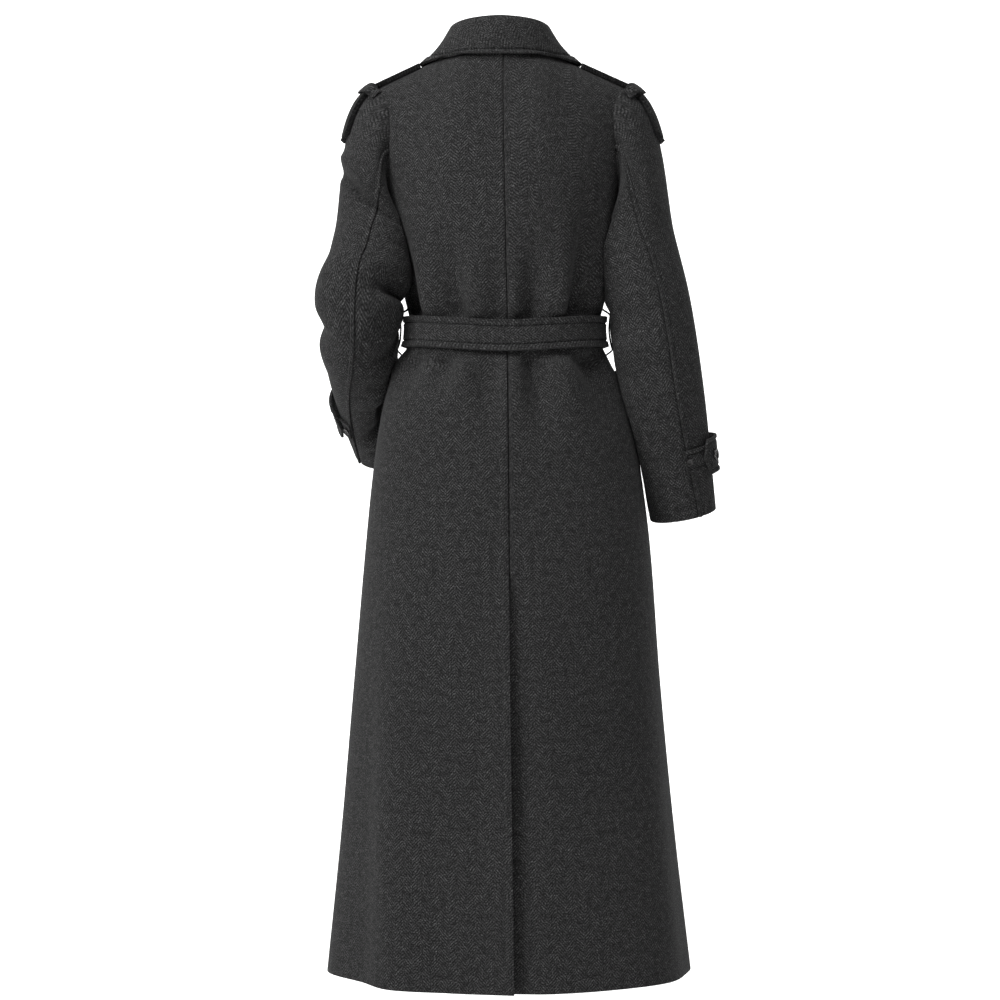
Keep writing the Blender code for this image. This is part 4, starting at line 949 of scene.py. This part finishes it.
# The belt. A stiffened double strap of the wool, topstitched along both edges, tied in front in a flat knot
# from which its two tails hang.
BELT_CLOTH, BELT_HEIGHT, BELT_LIFT, BELT_END = 0.005, 0.045, 0.003, 179.7
LAP_END_ANGLE, LAP_END_FADE = 70, 20
BELT_RIDGE, TAIL_RIDGE = Ridge(0.0085, 0.0003, 0.002), Ridge(0.0085, 0.0008, 0.0012)
BELT_GRID, TAIL_GRID = (300, 48), (30, 100)
KNOT_SIZE, KNOT_ROUND, KNOT_SEGMENTS = Vector((0.052, 0.02, 0.05)), 0.007, 5
KNOT_TOUCHES = (0.1, 0.5, 0.9)
TAIL_TOP, TAIL_LENGTHS, TAIL_CENTRE, TAIL_SPLAY = -0.3945, {1: 0.34, -1: 0.39}, 0.0245, 0.022


def belt(u, v):
    turn = BELT_END * (2 * u - 1)
    facing, angle = half(np.abs(turn))
    angle = angle * np.where(turn < 0, -1, 1)
    level = WAIST + BELT_HEIGHT * (v - 0.5) - belt_dip(facing, angle, WAIST)
    reach = plain_radius(facing, angle, level)
    reach = reach + np.where(facing < 0, LAP_LIFT * ease((LAP_END_ANGLE - np.abs(angle)) / LAP_END_FADE), 0.0)
    around = np.radians(angle)
    return np.stack([reach * np.sin(around), facing * reach * np.cos(around), level], -1)


def belt_shape(flat, u, v):
    away = BELT_HEIGHT * np.minimum(v, 1 - v)
    return BELT_LIFT + BELT_CLOTH + edge_ridge(away, BELT_RIDGE)


cloth("belt", *BELT_GRID, belt, BELT_CLOTH, -1, belt_shape, turned=True, held="stretched",
      rests_on=BODY_PANELS)


def belt_tail(hand, u, v):
    level = TAIL_TOP - TAIL_LENGTHS[hand] * v
    across = hand * (TAIL_CENTRE + TAIL_SPLAY * v) + BELT_HEIGHT * (u - 0.5)
    low = section(level)
    return body(-1, np.degrees(np.arctan2(across - low[3], low[2])), level, LAP_LIFT)


def tail_shape(flat, u, v):
    away = BELT_HEIGHT * np.minimum(u, 1 - u)
    return BELT_CLOTH + LAID_GAP + edge_ridge(away, TAIL_RIDGE)


for hand, side in SIDES:
    cloth(f"belt_tail_{side}", *TAIL_GRID, partial(belt_tail, hand), BELT_CLOTH, -1, tail_shape,
          rests_on=("belt_knot",))


def settle():
    """Gives the active piece its place, turn and size for good."""
    bpy.ops.object.transform_apply(location=True, rotation=True, scale=True)


seat = float(-belt(np.zeros(3), np.array(KNOT_TOUCHES))[:, 1].min()) + BELT_LIFT + BELT_CLOTH
activate_nothing()
bpy.ops.mesh.primitive_cube_add(size=1, location=(0, -(seat + KNOT_SIZE.y / 2), WAIST), scale=KNOT_SIZE)
knot = bpy.context.object
knot.name = knot.data.name = "belt_knot_cloth"
settle()
modify(knot, "BEVEL", width=KNOT_ROUND, segments=KNOT_SEGMENTS)
bpy.ops.object.shade_smooth()
knot.data.uv_layers.active.name = "flat"
knot.data.materials.append(WOOL)
hand_in(knot, "belt_knot")

# Belt carriers. Thin loops of worked wool thread that hold the belt, one at each side. They stand off the
# coat over the belt, and their ends are sewn into the side seams.
CARRIER_TOP, CARRIER_FOOT, CARRIER_HALF_ANGLE = -0.336, -0.404, 0.9
CARRIER_CLOTH, CARRIER_ROOM, CARRIER_RAMP, CARRIER_ROOT = 0.0024, 0.0028, 0.16, 0.0022
CARRIER_GRID = (4, 60)


def carrier(hand, u, v):
    level = CARRIER_TOP + (CARRIER_FOOT - CARRIER_TOP) * v
    turn = 90 + CARRIER_HALF_ANGLE * (2 * u - 1)
    facing, angle = half(turn)
    over = BELT_LIFT + BELT_CLOTH + CARRIER_ROOM
    root = radius(facing, hand * angle, level) - CARRIER_ROOT
    stand = plain_radius(facing, angle, level) + over
    reach = root + (stand - root) * ease(np.minimum(v, 1 - v) / CARRIER_RAMP)
    around = np.radians(turn)
    across = section(level)[3] + hand * reach * np.sin(around)
    return np.stack([across, reach * np.cos(around), level], -1)


def carrier_shape(flat, u, v):
    return np.full(u.shape, CARRIER_CLOTH)


for hand, side in SIDES:
    cloth(f"belt_carrier_{side}", *CARRIER_GRID, partial(carrier, hand), CARRIER_CLOTH, hand,
          carrier_shape, held=None)

# Cuff straps and tabs. A narrow strap of double wool lies round the outer side of each cuff from the back
# seam, under a pointed tab that stands a little off it.
STRAP_FROM_CUFF, STRAP_HEIGHT, STRAP_ROUND, STRAP_LAID = 0.08, 0.032, 180, 0.003
STRAP_SEAM_TURNS, TAB_TIP_TURNS = {1: 1, -1: -7}, {1: 14, -1: 22}
TAB_HEIGHT, TAB_ROUND, TAB_POINT_TURN = 0.049, 96, 10
TAB_CLOTH, TAB_STAND = 0.004, 0.0015
CUFF_RIDGE, CUFF_STRAP_GRID, CUFF_TAB_GRID = Ridge(0.005, 0.001, 0.0014), (80, 32), (48, 28)


def cuff_run(hand, up):
    """The run of a place measured up from the cuff's edge."""
    return 2 - up / arm_rows(hand)[1]


def cuff_strap(hand, u, v):
    run = cuff_run(hand, STRAP_FROM_CUFF + STRAP_HEIGHT * (v - 0.5))
    return sleeve(hand, sleeve_seam(hand, run) - STRAP_SEAM_TURNS[hand] - STRAP_ROUND * u, run)


def cuff_tab(hand, u, v):
    run = cuff_run(hand, STRAP_FROM_CUFF + TAB_HEIGHT * (v - 0.5))
    first = sleeve_seam(hand, cuff_run(hand, STRAP_FROM_CUFF)) - TAB_TIP_TURNS[hand]
    tip = first - TAB_POINT_TURN * np.abs(2 * v - 1)
    return sleeve(hand, tip + (first - TAB_ROUND - tip) * u, run)


def cuff_strap_shape(flat, u, v):
    away = np.minimum(STRAP_HEIGHT * np.minimum(v, 1 - v), flat[:, 0])
    return STRAP_LAID + LAID_GAP + edge_ridge(away, CUFF_RIDGE)


def cuff_tab_shape(flat, u, v):
    away = np.minimum(TAB_HEIGHT * np.minimum(v, 1 - v), flat[:, 0])
    stand = TAB_STAND * ease(1 - np.abs(2 * u - 1))
    return STRAP_LAID + TAB_CLOTH + 2 * LAID_GAP + stand + edge_ridge(away, CUFF_RIDGE)


for hand, side in SIDES:
    cloth(f"cuff_strap_{side}", *CUFF_STRAP_GRID, partial(cuff_strap, hand), STRAP_LAID, -hand,
          cuff_strap_shape, turned=True, held="laid",
          rests_on=(f"sleeve_{side}_upper", f"sleeve_{side}_under"))
    cloth(f"cuff_tab_{side}", *CUFF_TAB_GRID, partial(cuff_tab, hand), TAB_CLOTH, -hand, cuff_tab_shape,
          turned=True, held="laid", rests_on=(f"cuff_strap_{side}",))

# Buttons. Polished discs of dark horn with a turned rim and four thread holes, one sewn to each cuff tab and
# a smaller one to each cuff strap.
TAB_BUTTON_TURNS, STRAP_BUTTON_TURN = {1: 62, -1: 46}, 6
TAB_BUTTON_RADIUS, STRAP_BUTTON_RADIUS, BUTTON_THICK = 0.008, 0.0048, 0.003
HORN = plain_material("dark_horn", {"Base Color": (0.012, 0.011, 0.011, 1), "Roughness": 0.22})
BUTTON_SIDES, BUTTON_RIM, BUTTON_DISH, BUTTON_HOLE, HOLE_APART = 40, 0.2, 0.45, 0.1, 0.21
BUTTON_ROUND, BUTTON_SEGMENTS, BUTTON_GAP, BUTTON_STEP = 0.0004, 2, 0.0003, 0.01
HOLE_SIDES, DRILL_LENGTH, TOP_FACING, BUTTON_SMOOTH = 12, 4 * BUTTON_THICK, 0.9, math.radians(35)


def pick_faces(piece, wanted):
    """Leaves the piece in edit mode with only the wanted faces chosen."""
    activate(piece)
    bpy.ops.object.mode_set(mode="EDIT")
    bpy.ops.mesh.select_mode(type="FACE")
    bpy.ops.mesh.select_all(action="DESELECT")
    bpy.ops.object.mode_set(mode="OBJECT")
    for face in piece.data.polygons:
        face.select = wanted(face)
    bpy.ops.object.mode_set(mode="EDIT")


def drilled(disc, size):
    """Four thread holes through the middle of a button."""
    for x in (-HOLE_APART, HOLE_APART):
        for y in (-HOLE_APART, HOLE_APART):
            activate_nothing()
            bpy.ops.mesh.primitive_cylinder_add(vertices=HOLE_SIDES, radius=BUTTON_HOLE * size,
                                                depth=DRILL_LENGTH, location=(x * size, y * size, 0))
            drill = bpy.context.object
            modify(disc, "BOOLEAN", object=drill, solver="EXACT")
            bpy.data.objects.remove(drill)


def button(name, place, shape, u, v, size, hand):
    """A turned button on the cloth's point (u, v): a dished disc with a rounded rim and four holes."""
    def at(u, v):
        return place(np.array((u,)), np.array((v,)))[0]
    across = at(u + BUTTON_STEP, v) - at(u - BUTTON_STEP, v)
    along = at(u, v + BUTTON_STEP) - at(u, v - BUTTON_STEP)
    way = Vector(np.cross(across, along)).normalized() * -hand
    lift = float(shape(np.array(((1.0, 0.0),)), np.array((u,)), np.array((v,)))[0])
    activate_nothing()
    bpy.ops.mesh.primitive_cylinder_add(vertices=BUTTON_SIDES, radius=size, depth=BUTTON_THICK,
                                        location=(0, 0, BUTTON_THICK / 2))
    disc = bpy.context.object
    disc.name = disc.data.name = name + "_disc"
    settle()
    pick_faces(disc, lambda face: face.normal.z > TOP_FACING)
    bpy.ops.mesh.inset(thickness=BUTTON_RIM * size, depth=0)
    bpy.ops.mesh.inset(thickness=BUTTON_RIM * size / 2, depth=-BUTTON_DISH * BUTTON_THICK)
    bpy.ops.object.mode_set(mode="OBJECT")
    modify(disc, "BEVEL", width=BUTTON_ROUND, segments=BUTTON_SEGMENTS)
    drilled(disc, size)
    disc.location = Vector(at(u, v)) + way * (lift + BUTTON_GAP)
    disc.rotation_euler = way.to_track_quat("Z", "Y").to_euler()
    activate(disc)
    settle()
    bpy.ops.object.shade_smooth_by_angle(angle=BUTTON_SMOOTH)
    disc.data.materials.append(HORN)
    hand_in(disc, name)


for hand, side in SIDES:
    tab_u = (TAB_BUTTON_TURNS[hand] - TAB_TIP_TURNS[hand]) / TAB_ROUND
    button(f"tab_button_{side}", partial(cuff_tab, hand), cuff_tab_shape, tab_u, 0.5, TAB_BUTTON_RADIUS, hand)
    strap_u = STRAP_BUTTON_TURN / STRAP_ROUND
    button(f"strap_button_{side}", partial(cuff_strap, hand), cuff_strap_shape, strap_u, 0.5,
           STRAP_BUTTON_RADIUS, hand)

# Pocket welts. Slanted strips of the wool, made double and topstitched, one on each front below the belt.
# Each is sewn down over the mouth of a pocket.
WELT_TOP, WELT_FOOT, WELT_TOP_ANGLE, WELT_FOOT_ANGLE = -0.425, -0.61, 82, 62
WELT_WIDTH, WELT_CLOTH, WELT_GRID = 0.036, 0.004, (20, 60)
WELT_RIDGE = Ridge(0.005, 0.0004, 0.0006)


def pocket_welt(hand, u, v):
    level = WELT_TOP + (WELT_FOOT - WELT_TOP) * v
    middle = WELT_TOP_ANGLE + (WELT_FOOT_ANGLE - WELT_TOP_ANGLE) * v
    reach = radius(-1 + 0 * level, hand * middle, level)
    return body(-1, hand * (middle + np.degrees(WELT_WIDTH / reach) * (u - 0.5)), level)


def welt_shape(flat, u, v):
    away = np.minimum(WELT_WIDTH * np.minimum(u, 1 - u), (WELT_TOP - WELT_FOOT) * np.minimum(v, 1 - v))
    return WELT_CLOTH + LAID_GAP + edge_ridge(away, WELT_RIDGE)


for hand, side in SIDES:
    cloth(f"pocket_welt_{side}", *WELT_GRID, partial(pocket_welt, hand), WELT_CLOTH, -hand, welt_shape,
          held="laid", rests_on=(f"front_{side}",))

# The room. A pale painted floor and a white backdrop, both glowing a little so that they stay white, lit
# softly from above and from the left of the view.
FLOOR_LEVEL, FLOOR_SIZE, BACKDROP_SIZE, BACKDROP_PLACE = -1.43, 16, 7, (0, -3.5, 1.5)
WHITE, FLOOR_PAINT, BACKDROP_PAINT = (1, 1, 1, 1), (0.92, 0.92, 0.92, 1), (0.9, 0.9, 0.9, 1)
FLOOR_GLOW, BACKDROP_GLOW, WORLD_GLOW = 0.45, 0.7, 0.13


def plane(name, size, place, tilt, paint):
    activate_nothing()
    bpy.ops.mesh.primitive_plane_add(size=size, location=place, rotation=(math.radians(tilt), 0, 0))
    made = bpy.context.object
    made.name = name
    settle()
    made.data.materials.append(paint)
    return made


floor = plane("floor", FLOOR_SIZE, (0, 0, FLOOR_LEVEL), 0, plain_material("pale_floor", {
    "Base Color": FLOOR_PAINT, "Roughness": 0.9, "Emission Color": WHITE, "Emission Strength": FLOOR_GLOW}))
backdrop = plane("backdrop", BACKDROP_SIZE, BACKDROP_PLACE, 90, plain_material("white_backdrop", {
    "Base Color": BACKDROP_PAINT, "Emission Color": WHITE, "Emission Strength": BACKDROP_GLOW}))

scene = bpy.context.scene
world = bpy.data.worlds.new("soft_room")
world.use_nodes = True
world.node_tree.nodes["Background"].inputs[0].default_value = WHITE
world.node_tree.nodes["Background"].inputs[1].default_value = WORLD_GLOW
scene.world = world
scene.view_settings.view_transform = "Standard"

Lamp = namedtuple("Lamp", "name place aim size power")
LAMPS = (
    Lamp("key", (3.2, 2.5, 1.9), (0, 0, -0.4), 1.4, 185),
    Lamp("overhead", (0.4, 1.2, 2.4), (0, 0, -0.2), 1.8, 82),
    Lamp("side", (-3.4, 1.6, 0.8), (0, 0, -0.6), 1.6, 13),
)
for lamp in LAMPS:
    light = bpy.data.objects.new(lamp.name, bpy.data.lights.new(lamp.name, "AREA"))
    light.data.size = lamp.size
    light.data.energy = lamp.power
    light.location = lamp.place
    light.rotation_euler = (Vector(lamp.aim) - light.location).to_track_quat("-Z", "Y").to_euler()
    scene.collection.objects.link(light)

CAMERA_DISTANCE, CAMERA_SIDE, CAMERA_LEVEL = 4.2, 0.007, -0.6063
VIEW_WIDTH, FILM_WIDTH = 1.41, 36
camera = bpy.data.objects.new("camera", bpy.data.cameras.new("camera"))
camera.location = (CAMERA_SIDE, CAMERA_DISTANCE, CAMERA_LEVEL)
camera.rotation_euler = (math.radians(90), 0, math.radians(180))
camera.data.sensor_width = FILM_WIDTH
camera.data.lens = FILM_WIDTH * CAMERA_DISTANCE / VIEW_WIDTH
camera.data.clip_end = 60
scene.collection.objects.link(camera)
scene.camera = camera
